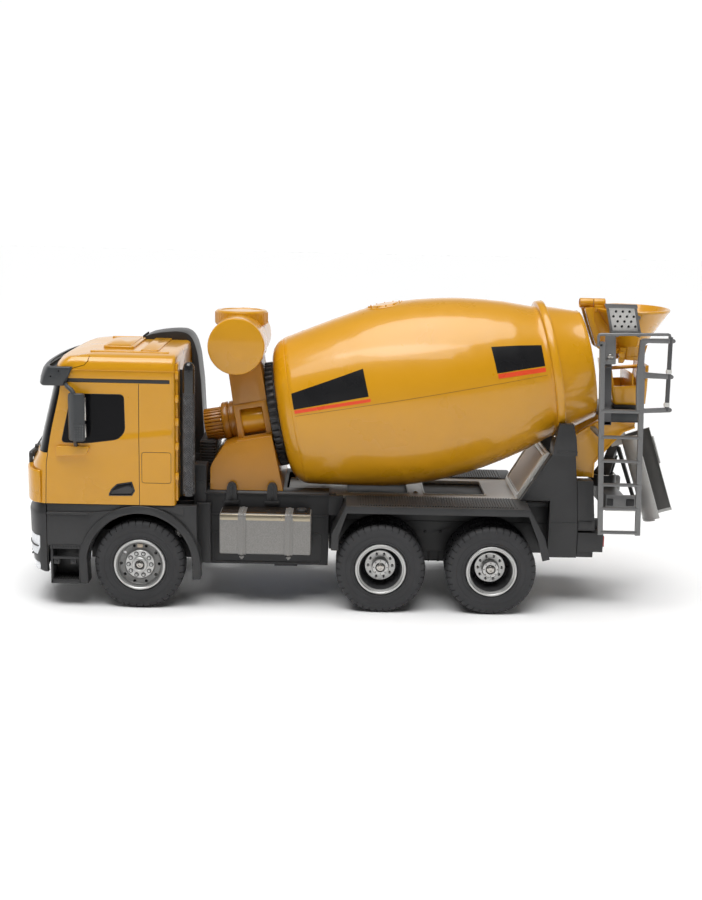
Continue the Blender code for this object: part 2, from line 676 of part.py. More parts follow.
def drum_pedestal():
    """Front support of the drum: a wide foot, an arm square to the drum's axis, and a bore for its shaft."""
    rear_low, rear_top = along_drum(PEDESTAL_U, 0.0544), along_drum(PEDESTAL_U, 0.0060)
    foot = [
        (-0.1180, 0.0898), (rear_low.x, 0.0898), (rear_top.x, rear_top.z), (-0.1095, 0.1305),
        (-0.1160, 0.1120),
        (-0.1180, 0.1050),
    ]
    pedestal = plate("drum_pedestal", foot, "xz", -0.0440, 0.0440, YELLOW)
    arm_rear_low, arm_rear_top = along_drum(PEDESTAL_U, 0.0180), along_drum(PEDESTAL_U, -0.0480)
    arm_front_low, arm_front_top = along_drum(PEDESTAL_U - 0.0290,
        0.0180), along_drum(PEDESTAL_U - 0.0260, -0.0480)
    arm = [(p.x, p.z) for p in (arm_front_low, arm_rear_low, arm_rear_top, arm_front_top)]
    join(pedestal, plate("arm", arm, "xz", -0.0300, 0.0300, YELLOW))
    tank_room = cylinder("tank_room", (-0.0960, -0.0600, 0.2040), (-0.0960, 0.0600, 0.2040), 0.0223,
        YELLOW, 32)
    shaft_room = cylinder("shaft_room", along_drum(-0.0380), along_drum(-0.0100), 0.0066, YELLOW, 20)
    windows = [
        plate(
            "window",
            [(p.x, p.z) for p in (along_drum(-0.0440, 0.0120), along_drum(-0.0255, 0.0120),
                                  along_drum(-0.0255, -0.0130), along_drum(-0.0440, -0.0130))],
            "xz", *span(side, 0.0280, 0.0320), YELLOW,
        )
        for _, side in sides()
    ]
    motor_room = cylinder("motor_room", along_drum(-0.0900), along_drum(-0.0497), 0.0154, YELLOW, 28)
    cut(pedestal, tank_room, shaft_room, motor_room, *windows)

    motor = turned(
        "mixer_motor",
        [(0.0, -0.0720), (0.0125, -0.0720), (0.0125, -0.0580), (0.0150, -0.0580), (0.0150, -0.0500),
            (0.0, -0.0500)],
        YELLOW, 28, closed=False,
    )
    motor.location, motor.rotation_euler = DRUM_SEAM, DRUM_TURN

    tank = cylinder("water_tank", (-0.0960, -0.0500, 0.2040), (-0.0960, 0.0500, 0.2040), 0.0220, YELLOW, 32)
    join(tank, cylinder("filler", (-0.0955, 0.0, 0.2050), (-0.0955, 0.0, 0.2283), 0.0208, YELLOW, 28))


def rear_supports():
    """Black side plates of the rear frame, each with a saddle for a roller, and the two rollers."""
    outline = [
        (0.1300, 0.0870), (0.1535, 0.1255), (0.1535, 0.1275), (0.1765, 0.1275), (0.1765, 0.1030),
        (0.1850, 0.1030),
        (0.1850, 0.0620), (0.1975, 0.0620), (0.1975, 0.0460), (0.1835, 0.0460), (0.1835, 0.0400),
        (0.1535, 0.0400),
        (0.1535, 0.0870),
    ]
    reach = TRACK_RADIUS + ROLLER_RADIUS + 0.0004
    for name, side in sides():
        support = plate(f"rear_support_{name}", outline, "xz", *span(side, 0.0380, 0.0455), BLACK)
        saddle = side_box("saddle", side, (0.1525, 0.1735), (0.0330, 0.0510), (0.1265, 0.1490), BLACK)
        panel = side_box("panel", side, (-0.0215, 0.1585), (0.0314, 0.0334), (0.0400, 0.0815), BLACK)
        bridge = side_box("bridge", side, (0.1535, 0.1585), (0.0320, 0.0390), (0.0450, 0.0800), BLACK)
        join(support, saddle, panel, bridge)
        for x in (MID_AXLE_X, REAR_AXLE_X):
            cut(support, cylinder("axle_room", (x, side * 0.0300, TYRE_RADIUS), (x, side * 0.0350,
                TYRE_RADIUS),
                                  0.0090, BLACK))
        middle = along_drum(TRACK_U, reach * cos(ROLLER_ANGLE))
        middle.y = side * reach * sin(ROLLER_ANGLE)
        half = (along_drum(1.0) - along_drum(0.0)) * 0.0040
        cut(
            support,
            cylinder("drum_room", along_drum(0.1800), along_drum(0.2600), TRACK_RADIUS + 0.0012, BLACK, 48),
            cylinder("roller_room", middle - half * 1.25, middle + half * 1.25, ROLLER_RADIUS + 0.0010,
                BLACK, 20),
        )
        cylinder(f"support_roller_{name}", middle - half, middle + half, ROLLER_RADIUS, BLACK, 20)


def hopper():
    """Funnel with an oval rim over the drum's mouth, with the roll that shields the drum's edge."""
    centre, stretch = (0.2185, 0.0, 0.0), 1.35
    profile = [
        (0.0292, 0.2365), (0.0110, 0.2070), (0.0110, 0.1960), (0.0094, 0.1960), (0.0094, 0.2065),
        (0.0270, 0.2365),
    ]
    funnel = turned("hopper", profile, YELLOW, 28)
    funnel.data.transform(Matrix.Diagonal((1.0, stretch, 1.0, 1.0)))
    funnel.location = centre
    roll = cylinder("roll", (0.1760, 0.0, 0.2400), (0.1925, 0.0, 0.2400), 0.0038, YELLOW, 16)
    tongue = box("tongue", (0.1880, -0.0060, 0.2345), (0.1935, 0.0060, 0.2385), YELLOW)
    join(funnel, tongue, roll)


def collector():
    """Open box that catches the concrete under the drum's mouth, on two swept side brackets."""
    shape = [(0.2035, 0.1610), (0.2295, 0.1610), (0.2300, 0.1935), (0.1985, 0.1900)]
    inner = [(0.2055, 0.1560), (0.2275, 0.1560), (0.2280, 0.1990), (0.2006, 0.1990)]
    body = plate("collector", shape, "xz", -0.0250, 0.0250, YELLOW)
    for _, side in sides():
        bracket = [
            (0.1770, 0.1034), (0.1880, 0.1034), (0.1850, 0.1170), (0.1960, 0.1330), (0.2200, 0.1480),
            (0.2290, 0.1640),
            (0.2040, 0.1640), (0.1870, 0.1460), (0.1770, 0.1370),
        ]
        join(body, plate("bracket", bracket, "xz", *span(side, 0.0245, 0.0330), YELLOW))
    cut(body, plate("inner", inner, "xz", -0.0230, 0.0230, YELLOW))


def ladder():
    """Access ladder on the left with guard rails and the two bars that hold it to the rear frame."""
    y = -0.0660
    rail, thin = 0.0023, 0.0015
    low_front, top_front = (0.1903, 0.0650), (0.1829, 0.2170)
    low_rear, top_rear = (0.2192, 0.0650), (0.2137, 0.2190)

    def on(low, top, z):
        share = (z - low[1]) / (top[1] - low[1])
        return (low[0] + (top[0] - low[0]) * share, y, z)

    frame = tube("ladder", [on(low_front, top_front, z) for z in (0.0650, 0.2210)], rail, GREY)
    rungs = [0.0667, 0.0860, 0.1049, 0.1237, 0.1424, 0.1625]
    bars = [[on(low_rear, top_rear, z) for z in (0.0650, 0.2170)]]
    bars += [[on(low_front, top_front, z), on(low_rear, top_rear, z)] for z in rungs]
    bars += [[on(low_rear, top_rear, z), (0.2385, y, z + 0.0006)] for z in (0.2160, 0.1880, 0.1625)]
    bars += [[(0.2345, y, 0.2215), (0.2345, y, 0.1620)]]
    bars += [[on(low_front, top_front, 0.2208), (0.2350, y, 0.2214)]]
    for place, bar in enumerate(bars):
        join(frame, tube(f"bar_{place}", bar, thin if place > 1 and place < 7 else 0.0020, GREY))
    strap = box("strap", (0.1860, y - 0.0010, 0.1800), (0.1935, y + 0.0010, 0.2210), GREY)
    tie_low = box("tie_low", (0.1840, y - 0.0010, 0.1424), (0.1880, -0.0333, 0.1454), GREY)
    join(frame, strap, tie_low)


def rear_end():
    holes = [
        (column, row)
        for row, shift in enumerate((0.0, -0.5, 0.0, -0.5))
        for column in (i + shift for i in range(3 + (shift < 0)))
    ]
    lean = 0.0050 / 0.0220
    low_x, low_z, tall, wide = 0.1918, 0.2212, 0.0222, 0.0236
    outline = [(low_x, low_z), (low_x + wide, low_z), (low_x + wide - lean * tall, low_z + tall),
               (low_x - lean * tall, low_z + tall)]
    sheet = plate("perforated_plate", outline, "xz", -0.0515, -0.0500, GREY)
    for column, row in holes:
        x = low_x + 0.0070 + column * 0.0060 - lean * (tall - 0.0055 - row * 0.0040)
        z = low_z + tall - 0.0055 - row * 0.0040
        cut(sheet, cylinder("hole", (x + 0.0010, -0.0600, z), (x + 0.0010, -0.0400, z), 0.0010, GREY, 8))

    beam = box("rear_beam", (0.1985, -0.0400, 0.0775), (0.2262, 0.0400, 0.0905), GREY, 0.0015)
    cut(beam, box("swing_room", (0.2135, -0.0365, 0.0700), (0.2400, 0.0365, 0.1000), GREY))


def chute():
    """Swivelling bracket on the rear beam and the open chute that tilts on it."""
    swivel = empty_at("chute_swivel_axis", (SWIVEL_X, 0.0, 0.0), (0.0, 0.0, CHUTE_YAW))
    bracket = cylinder("chute_bracket", (0.0, 0.0, 0.0908), (0.0, 0.0, 0.1000), 0.0110, BLACK)
    pivot_x, pivot_z, half = 0.0095, 0.1300, 0.0026
    post = [
        (-0.0040, 0.0950), (0.0040, 0.0950), (pivot_x + half, pivot_z - half),
        (pivot_x + half, pivot_z + half),
        (pivot_x - half, pivot_z + half), (pivot_x - half, pivot_z - half),
    ]
    join(bracket, plate("post", post, "xz", -0.0050, 0.0050, BLACK))
    hang(swivel, bracket)

    tilt = empty_at("chute_tilt_axis", (pivot_x, 0.0, pivot_z), (0.0, CHUTE_PITCH, 0.0), swivel)
    wall = 0.0015
    lift = CHUTE_RADIUS + 0.0045
    section = arc((0.0, lift), CHUTE_RADIUS, 180, 360, 12)
    section += arc((0.0, lift), CHUTE_RADIUS - wall, 360, 180, 12)
    trough = plate("discharge_chute", section, "yz", -0.0010, CHUTE_LENGTH - 0.0010, SILVER)
    ear = box("ear", (-0.0050, -0.0085, -0.0030), (0.0050, 0.0085, 0.0055), SILVER)
    ear_slot = box("ear_slot", (-0.0100, -0.0054, -0.0100), (0.0100, 0.0054, 0.0040), SILVER)
    join(trough, ear)
    cut(trough, ear_slot)
    hang(tilt, trough)


for build in (
    frame_rails, chassis_cover, battery_and_board, deck_plate, rear_fenders, fuel_tanks, rear_drive, front_axle,
    cab, behind_cab, drum, drum_pedestal, rear_supports, hopper, collector, ladder, rear_end, chute,
):
    build()
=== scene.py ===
import json
from math import atan2, cos, pi, radians, sin

import bmesh
import bpy
from mathutils import Matrix, Vector


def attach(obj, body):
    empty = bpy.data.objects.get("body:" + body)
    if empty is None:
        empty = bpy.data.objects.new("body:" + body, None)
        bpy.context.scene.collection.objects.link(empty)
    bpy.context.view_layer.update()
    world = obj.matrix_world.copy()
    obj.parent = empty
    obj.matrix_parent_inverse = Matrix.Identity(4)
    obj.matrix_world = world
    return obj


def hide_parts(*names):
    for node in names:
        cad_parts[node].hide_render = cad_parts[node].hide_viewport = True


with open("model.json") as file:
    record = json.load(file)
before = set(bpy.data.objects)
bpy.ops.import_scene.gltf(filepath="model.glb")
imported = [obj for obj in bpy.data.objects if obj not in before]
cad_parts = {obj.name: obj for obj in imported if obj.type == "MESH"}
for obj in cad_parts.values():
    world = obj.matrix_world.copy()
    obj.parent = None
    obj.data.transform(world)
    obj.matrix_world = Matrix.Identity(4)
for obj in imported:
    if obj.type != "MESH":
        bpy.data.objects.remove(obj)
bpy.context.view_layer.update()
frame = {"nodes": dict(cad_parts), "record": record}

# Material slot of every finish; a CAD node that shows takes the first finish of its slot.
SLOTS = {kind: slot for slot, kinds in (
    ("yellow_paint", "yellow yellow_brown band_black band_orange line"),
    ("black_plastic", "black rail_black gloss_black"),
    ("silver_paint", "silver rim_silver rim_dark chute_silver rim_mid chute_dark beige"),
    ("tank_grey", "tank tank_top tank_dark"),
    ("grey_metal", "grey_dark grey plate_grey"),
    ("steel", "steel"),
    ("dark_grey_plastic", "dark_grey"),
    ("tyre", "tyre"),
    ("glazing", "glass"),
    ("clear_lens", "lens red"),
    ("circuit_board", "board"),
    ("battery_wrap", "wrap"),
) for kind in kinds.split()}


# Finishes: each one is a node tree in the piece's own space, so it rides with the piece.
def finish(name, colour, rough, metal=0.0, vary=0.06, grain=900.0, bump=0.15, blotch=35.0, coat=0.0,
           flake=0.0, dust=0.0, scratch=0.0, specular=0.5):
    """Base colour with slow blotches and fine grain; roughness and bump follow it; dust settles on tops."""
    made = bpy.data.materials.new(name)
    made.use_nodes = True
    nodes, links = made.node_tree.nodes, made.node_tree.links
    shader = nodes["Principled BSDF"]
    shader.inputs["Metallic"].default_value = metal
    shader.inputs["Specular IOR Level"].default_value = specular
    shader.inputs["Coat Weight"].default_value = coat
    shader.inputs["Coat Roughness"].default_value = 0.08
    place = nodes.new("ShaderNodeTexCoord")

    def noise(scale, detail=4.0, stretch=None):
        node = nodes.new("ShaderNodeTexNoise")
        node.inputs["Scale"].default_value = scale
        node.inputs["Detail"].default_value = detail
        source = place.outputs["Object"]
        if stretch:
            mapping = nodes.new("ShaderNodeMapping")
            mapping.inputs["Scale"].default_value = stretch
            links.new(source, mapping.inputs["Vector"])
            source = mapping.outputs["Vector"]
        links.new(source, node.inputs["Vector"])
        return node.outputs["Fac"]

    def ranged(value, low, high, from_low=0.3, from_high=0.7):
        node = nodes.new("ShaderNodeMapRange")
        node.inputs["From Min"].default_value = from_low
        node.inputs["From Max"].default_value = from_high
        node.inputs["To Min"].default_value = low
        node.inputs["To Max"].default_value = high
        links.new(value, node.inputs["Value"])
        return node.outputs["Result"]

    def blend(share, first, second):
        node = nodes.new("ShaderNodeMix")
        node.data_type = "RGBA"
        links.new(share, node.inputs["Factor"])
        for socket, value in ((node.inputs[6], first), (node.inputs[7], second)):
            if isinstance(value, tuple):
                socket.default_value = (*value, 1.0)
            else:
                links.new(value, socket)
        return node.outputs[2]

    def scaled(factor):
        return tuple(min(1.0, c * factor) for c in colour)

    slow = noise(blotch, 3.0)
    fine = noise(grain, 5.0)
    shade = blend(ranged(slow, 0.0, 1.0), scaled(1 - vary), scaled(1 + vary))
    shade = blend(ranged(fine, 0.0, 0.35 + flake), shade, scaled(1 + vary + 1.2 * flake))
    if flake:
        speck = nodes.new("ShaderNodeTexVoronoi")
        speck.inputs["Scale"].default_value = 2600.0
        links.new(place.outputs["Object"], speck.inputs["Vector"])
        shade = blend(ranged(speck.outputs["Distance"], 0.8 * flake, 0.0, 0.0, 0.35), shade, scaled(1.6))
    if dust:
        up = nodes.new("ShaderNodeNewGeometry")
        split = nodes.new("ShaderNodeSeparateXYZ")
        links.new(up.outputs["Normal"], split.inputs["Vector"])
        patch = nodes.new("ShaderNodeMath")
        patch.operation = "MULTIPLY"
        links.new(ranged(split.outputs["Z"], 0.0, dust, 0.5, 1.0), patch.inputs[0])
        links.new(ranged(noise(120.0, 6.0), 0.2, 1.0), patch.inputs[1])
        shade = blend(patch.outputs["Value"], shade, (0.42, 0.4, 0.37))
    links.new(shade, shader.inputs["Base Color"])
    rough_low, rough_high = max(0.03, rough - 0.05), rough + 0.07
    links.new(ranged(slow, rough_low, rough_high), shader.inputs["Roughness"])
    height = fine
    if scratch:
        streak = noise(grain * 0.6, 3.0, (1.0, 0.06, 0.06))
        adding = nodes.new("ShaderNodeMath")
        adding.operation = "MULTIPLY_ADD"
        adding.inputs[1].default_value = scratch
        links.new(streak, adding.inputs[0])
        links.new(fine, adding.inputs[2])
        height = adding.outputs["Value"]
    relief = nodes.new("ShaderNodeBump")
    relief.inputs["Strength"].default_value = bump
    relief.inputs["Distance"].default_value = 0.0002
    links.new(height, relief.inputs["Height"])
    links.new(relief.outputs["Normal"], shader.inputs["Normal"])
    return made


FINISH = {
    "yellow": finish("yellow_enamel", (0.64, 0.3, 0.006), 0.3, vary=0.03, grain=700, bump=0.04, coat=0.6,
                     specular=0.4),
    "black": finish("black_moulding", (0.036, 0.036, 0.037), 0.38, vary=0.14, grain=1500, bump=0.16,
                    dust=0.03, specular=0.35),
    "rail_black": finish("black_frame", (0.03, 0.03, 0.031), 0.42, vary=0.12, grain=1200, bump=0.15,
                         dust=0.05, specular=0.3),
    "silver": finish("silver_enamel", (0.66, 0.65, 0.62), 0.34, 0.25, vary=0.04, grain=1100, bump=0.06,
                     flake=0.15, dust=0.08),
    "rim_silver": finish("rim_silver", (0.5, 0.5, 0.49), 0.34, 0.7, vary=0.05, grain=1600, bump=0.1,
                         flake=0.2),
    # Near-black grey: painted shade for the rear wheels' deep dish, the nut seats, the centre cup and the
    # small nuts.
    "rim_dark": finish("rim_dark", (0.06, 0.06, 0.063), 0.4, 0.5, vary=0.08, grain=1400, bump=0.12,
                       flake=0.1),
    "chute_silver": finish("chute_silver", (0.46, 0.455, 0.44), 0.4, 0.35, vary=0.08, grain=900, bump=0.12,
                           blotch=22, scratch=0.8, dust=0.05),
    "tank": finish("tank_grey", (0.185, 0.18, 0.172), 0.44, 0.35, vary=0.06, grain=2200, bump=0.35,
                   flake=0.55),
    "tank_top": finish("tank_champagne", (0.4, 0.35, 0.26), 0.3, 0.75, vary=0.06, grain=900, bump=0.08,
                       scratch=0.6),
    "tank_dark": finish("tank_dark_lid", (0.045, 0.034, 0.026), 0.16, 0.4, vary=0.1, grain=900, bump=0.05,
                        coat=0.4),
    # Darker copy of the yellow paint: painted shade for the pedestal, its clamp frames and the mixer motor
    # under the drum.
    "yellow_brown": finish("shaded_drive_yellow", (0.44, 0.185, 0.006), 0.34, vary=0.05, grain=800, bump=0.08,
                           coat=0.2),
    "gloss_black": finish("gloss_black", (0.012, 0.012, 0.013), 0.22, vary=0.1, grain=1300, bump=0.06,
                          coat=0.3),
    # Darker grey: painted shade for the recessed ring between the front wheels' lip and disc.
    "rim_mid": finish("rim_mid", (0.2, 0.2, 0.196), 0.42, 0.5, vary=0.08, grain=1600, bump=0.14,
                      flake=0.15),
    "grey_dark": finish("dark_steel_grey", (0.085, 0.085, 0.088), 0.36, 0.4, vary=0.08, grain=1500,
                        bump=0.12),
    # Near-black sheet colour inside the chute's trough: painted shade of its hollow.
    "chute_dark": finish("chute_painted_shade", (0.08, 0.078, 0.074), 0.3, 0.3, vary=0.2, grain=900, bump=0.1,
                         blotch=22),
    "grey": finish("ladder_grey", (0.17, 0.17, 0.17), 0.38, 0.45, vary=0.06, grain=1700, bump=0.12,
                   flake=0.15),
    "plate_grey": finish("plate_grey", (0.62, 0.61, 0.59), 0.36, 0.4, vary=0.05, grain=1500, bump=0.1,
                         flake=0.2),
    "steel": finish("bright_steel", (0.5, 0.48, 0.45), 0.25, 1.0, vary=0.08, grain=1300, bump=0.1,
                    scratch=0.5),
    "dark_grey": finish("dark_grey_moulding", (0.045, 0.048, 0.051), 0.34, vary=0.1, grain=1400, bump=0.12,
                        specular=0.4),
    "tyre": finish("tyre_rubber", (0.04, 0.04, 0.042), 0.62, vary=0.16, grain=1100, bump=0.3, blotch=60,
                   dust=0.06, specular=0.3),
    "glass": finish("black_glazing", (0.005, 0.005, 0.006), 0.1, vary=0.1, grain=300, bump=0.01,
                    specular=0.12),
    "lens": finish("lamp_lens", (0.8, 0.82, 0.85), 0.1, 0.1, vary=0.04, grain=500, bump=0.05, coat=0.8),
    "red": finish("red_lens", (0.48, 0.02, 0.015), 0.15, vary=0.05, grain=500, bump=0.05, coat=0.6),
    "board": finish("circuit_board", (0.04, 0.2, 0.08), 0.4, vary=0.15, grain=800, bump=0.1),
    "wrap": finish("battery_wrap", (0.05, 0.12, 0.36), 0.3, vary=0.08, grain=500, bump=0.08, coat=0.3),
    "band_black": finish("band_black", (0.012, 0.012, 0.013), 0.28, vary=0.08, grain=700, bump=0.04,
                         coat=0.3, specular=0.3),
    "band_orange": finish("band_orange", (0.8, 0.075, 0.022), 0.3, vary=0.04, grain=700, bump=0.04,
                          coat=0.4),
    "line": finish("panel_line", (0.2, 0.085, 0.01), 0.55, vary=0.08, grain=700, bump=0.05),
    "beige": finish("beige_panel", (0.6, 0.51, 0.4), 0.5, vary=0.05, grain=900, bump=0.08, dust=0.06),
}


# Shapes: each returns (points, faces) of one closed body.
PLANE = {"xz": lambda a, b, c: (a, c, b), "xy": lambda a, b, c: (a, b, c), "yz": lambda a, b, c: (c, a, b)}


def block(low, high):
    """Box between two opposite corners."""
    return prism([(low[0], low[1]), (high[0], low[1]), (high[0], high[1]), (low[0], high[1])], "xy", low[2],
                 high[2])


def prism(outline, plane, low, high):
    """Outline drawn in a plane, made solid from low to high along the plane's normal."""
    put, count = PLANE[plane], len(outline)
    points = [put(a, b, c) for c in (low, high) for a, b in outline]
    walls = [(i, (i + 1) % count, count + (i + 1) % count, count + i) for i in range(count)]
    return points, [tuple(range(count))[::-1], tuple(range(count, 2 * count)), *walls]


def ring_faces(rows, count, closed):
    """Quads between rows of count points; the rows join up end to end if closed."""
    spans = range(rows if closed else rows - 1)
    return [
        (r * count + i, r * count + (i + 1) % count,
         (r + 1) % rows * count + (i + 1) % count, (r + 1) % rows * count + i)
        for r in spans for i in range(count)
    ]


def loft(rows, closed=False):
    """Body through rows of equally many points, joined up end to end if closed, else capped at both ends."""
    count = len(rows[0])
    faces = ring_faces(len(rows), count, closed)
    if not closed:
        last = (len(rows) - 1) * count
        faces += [tuple(range(count))[::-1], tuple(range(last, last + count))]
    return [point for row in rows for point in row], faces


def lathe(profile, steps, place=None, closed=False):
    """(radius, height) profile turned about own Z; place is the matrix that puts it in the truck."""
    angles = [2 * pi * i / steps for i in range(steps)]
    rows = [[(radius * cos(a), radius * sin(a), height) for a in angles] for radius, height in profile]
    return moved(loft(rows, closed), place)


def moved(shape, place):
    """The shape with its points taken through a matrix."""
    if place is None:
        return shape
    points, faces = shape
    return [tuple(place @ Vector(p)) for p in points], faces


def flipped(shape):
    """The same shape on the other side of the truck."""
    points, faces = shape
    return [(x, -y, z) for x, y, z in points], [face[::-1] for face in faces]


def pipe(path, radius, sides=12):
    """Round bar along a path of points, with flat ends; radius is one number, or one for each point."""
    path = [Vector(p) for p in path]
    angles = [2 * pi * k / sides for k in range(sides)]
    rows, normal = [], None
    for i, p in enumerate(path):
        before = path[i - 1] if i else p
        after = path[i + 1] if i + 1 < len(path) else p
        way = (after - before).normalized()
        if normal is None:
            normal = way.orthogonal().normalized()
        normal = (normal - way * normal.dot(way)).normalized()
        other = way.cross(normal)
        size = radius[i] if isinstance(radius, (list, tuple)) else radius
        rows.append([tuple(p + size * (cos(t) * normal + sin(t) * other)) for t in angles])
    return loft(rows)


def rod(start, end, radius, sides=16, end_radius=None):
    """Straight round bar, tapered if the end has a radius of its own."""
    return pipe([start, end], [radius, radius if end_radius is None else end_radius], sides)


def axis_place(start, direction):
    """Matrix that puts own Z along a direction, from a start point."""
    return Matrix.Translation(Vector(start)) @ Vector(direction).to_track_quat("Z", "Y").to_matrix().to_4x4()


def rounded(outline, radius, count=4):
    """Outline with each corner replaced by an arc-like curve."""
    result, size = [], len(outline)
    for i, corner in enumerate(outline):
        corner = Vector(corner)
        before, after = Vector(outline[i - 1]), Vector(outline[(i + 1) % size])
        cut_before = min(radius, (before - corner).length * 0.48)
        cut_after = min(radius, (after - corner).length * 0.48)
        start = corner + (before - corner).normalized() * cut_before
        end = corner + (after - corner).normalized() * cut_after
        for k in range(count + 1):
            t = k / count
            point = start * (1 - t) ** 2 + corner * 2 * t * (1 - t) + end * t * t
            result.append(tuple(point))
    return result


def rectangle(x, z):
    """Outline over two ranges, (low, high) each."""
    return [(x[0], z[0]), (x[1], z[0]), (x[1], z[1]), (x[0], z[1])]


def arc(centre, radius, start, end, count):
    """Points on a circle from one angle in degrees to another."""
    return [(centre[0] + radius * cos(radians(a)), centre[1] + radius * sin(radians(a)))
            for a in (start + (end - start) * i / count for i in range(count + 1))]


def ribbon(path, width):
    """Closed outline of a strip of even width along an open path."""
    path = [Vector(p) for p in path]
    left, right = [], []
    for i, p in enumerate(path):
        way = (path[min(i + 1, len(path) - 1)] - path[max(i - 1, 0)]).normalized()
        side = Vector((-way.y, way.x)) * width / 2
        left.append(tuple(p + side))
        right.append(tuple(p - side))
    return right + left[::-1]


def band(outline, width, plane, low, high):
    """Frame of even width along a closed outline, made solid from low to high along the plane's normal."""
    put, count, rows = PLANE[plane], len(outline), [[], []]
    for i, corner in enumerate(outline):
        before, corner, after = Vector(outline[i - 1]), Vector(corner), Vector(outline[(i + 1) % count])
        first, second = (corner - before).normalized(), (after - corner).normalized()
        out = Vector((first.y + second.y, -first.x - second.x)).normalized()
        reach = width / 2 / max(0.4, out.dot(Vector((first.y, -first.x))))
        rows[0].append(corner + out * reach)
        rows[1].append(corner - out * reach)
    order = ((rows[0], low), (rows[0], high), (rows[1], high), (rows[1], low))
    return loft([[put(p.x, p.y, c) for p in row] for row, c in order], closed=True)


def both(shapes):
    """The shapes given for the right side (+Y), and their twins on the left."""
    shapes = list(shapes)
    return shapes + [flipped(s) for s in shapes]


def mesh_of(name, shapes):
    """One mesh of all the shapes, with its faces turned outwards."""
    points, faces = [], []
    for shape_points, shape_faces in shapes:
        start = len(points)
        points += [tuple(p) for p in shape_points]
        faces += [tuple(start + i for i in face) for face in shape_faces]
    mesh = bpy.data.meshes.new(name)
    mesh.from_pydata(points, [], faces)
    work = bmesh.new()
    work.from_mesh(mesh)
    bmesh.ops.remove_doubles(work, verts=work.verts, dist=1e-7)
    bmesh.ops.recalc_face_normals(work, faces=work.faces)
    work.to_mesh(mesh)
    work.free()
    return mesh


def piece(name, shapes, kind, body="root", stands_for=(), bevel=0.0, segments=2, cuts=(), angle=32.0,
          joins=()):
    """One visible piece: the shapes less the cuts, with softened edges and a finish, riding on a CAD body."""
    made = bpy.data.objects.new(name, mesh_of(name, shapes))
    bpy.context.scene.collection.objects.link(made)
    for operation, tools in (("UNION", joins), ("DIFFERENCE", cuts)):
        for tool_shape in tools:
            tool = bpy.data.objects.new(
                "tool", mesh_of("tool", tool_shape if isinstance(tool_shape, list) else [tool_shape])
            )
            bpy.context.scene.collection.objects.link(tool)
            change = made.modifiers.new("change", "BOOLEAN")
            change.operation, change.solver, change.object = operation, "EXACT", tool
            made.data = applied(made)
            bpy.data.objects.remove(tool)
    if bevel:
        soften = made.modifiers.new("soften", "BEVEL")
        soften.width, soften.segments, soften.angle_limit = bevel, segments, radians(angle)
        made.data = applied(made)
    made.data.materials.clear()
    made.data.materials.append(FINISH[kind])
    made.data.polygons.foreach_set("use_smooth", [True] * len(made.data.polygons))
    made.data.set_sharp_from_angle(angle=radians(angle))
    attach(made, body)
    if stands_for:
        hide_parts(*stands_for)
    return made


def applied(made):
    """The object's mesh with its modifiers worked in."""
    bpy.context.view_layer.update()
    graph = bpy.context.evaluated_depsgraph_get()
    mesh = bpy.data.meshes.new_from_object(made.evaluated_get(graph), depsgraph=graph)
    made.modifiers.clear()
    return mesh


SIDES = (("left", -1), ("right", 1))


def on_side(side, shapes):
    """Shapes given for the right side, put on the side asked for."""
    return list(shapes) if side > 0 else [flipped(s) for s in shapes]


def screw(place, radius, height):
    """Button head with a socket, own Z outwards."""
    outer = [(0.0, -0.0005), (radius, -0.0005), (radius, height * 0.45), (radius * 0.8, height * 0.85),
             (radius * 0.45, height)]
    return lathe(outer + [(radius * 0.45, height * 0.35), (0.0, height * 0.35)], 12, place)


# Wheels.
TYRE_R, TYRE_W, FACE_Y = 0.035, 0.019, 0.074
FRONT_AXLE_X, MID_AXLE_X, REAR_AXLE_X = -0.168, 0.0195, 0.106
REAR_AXLES = (MID_AXLE_X, REAR_AXLE_X)
TREAD_PITCHES, BEAD_R = 38, 0.0202


def tread_ring(w):
    """Outside of a tyre with tread blocks: rows of points across, columns round, grooves in each pitch."""
    deep, r, pitches = 0.0011, TYRE_R, TREAD_PITCHES
    columns = [  # share of the pitch, and what the column does: 0 side groove, 1 edge, 2 shoulder groove
        (-0.07, 1), (-0.045, 0), (0.045, 0), (0.07, 1), (0.43, 1), (0.455, 2), (0.545, 2), (0.57, 1),
    ]
    side_lug = 0.0007
    half = [  # radius, distance in from the face, and the kind of row: 3 and 4 side lugs, 5 shoulder blocks
        (0.0203, 0.0022, 0), (0.0208, 0.0014, 0), (0.0222, 0.0008, 0), (0.0228, 0.001, 0),
        (0.0234, 0.0006, 0), (0.0262, 0.0001, 0), (0.027, 0.0003, 0), (0.0276, 0.0, 0), (0.03, 0.0002, 0),
        (0.0312, 0.0006, 0), (0.0318, 0.0007, 3), (0.0336, 0.0016, 3),
        (r - 0.0006, 0.0028, 4), (r, 0.0038, 4), (r, 0.0066, 4),
        (r - deep, 0.0068, 0), (r - deep, 0.0074, 0), (r, 0.0076, 5), (r, w / 2 - 0.0004, 5),
        (r - deep * 0.7, w / 2 - 0.0003, 0),
    ]
    stations = [(a, b, c, 1) for a, b, c in half] + [(a, w - b, c, -1) for a, b, c in half[::-1]]
    points = []
    for radius, across, row, side in stations:
        for pitch in range(pitches):
            for share, mark in columns:
                angle = 2 * pi * (pitch + share) / pitches
                cut_row = (mark == 2 and row == 5) or (mark == 0 and row in (3, 4))
                out, along = radius, across
                if cut_row:
                    out = radius - (deep if row != 3 else 0.0002)
                    along = across + side * (side_lug if row == 3 else 0.0)
                if row == 5:
                    angle += side * 0.22 * pi / pitches
                points.append((out * cos(angle), out * sin(angle), -along))
    count = len(columns) * pitches
    return points, ring_faces(len(stations), count, closed=False), count


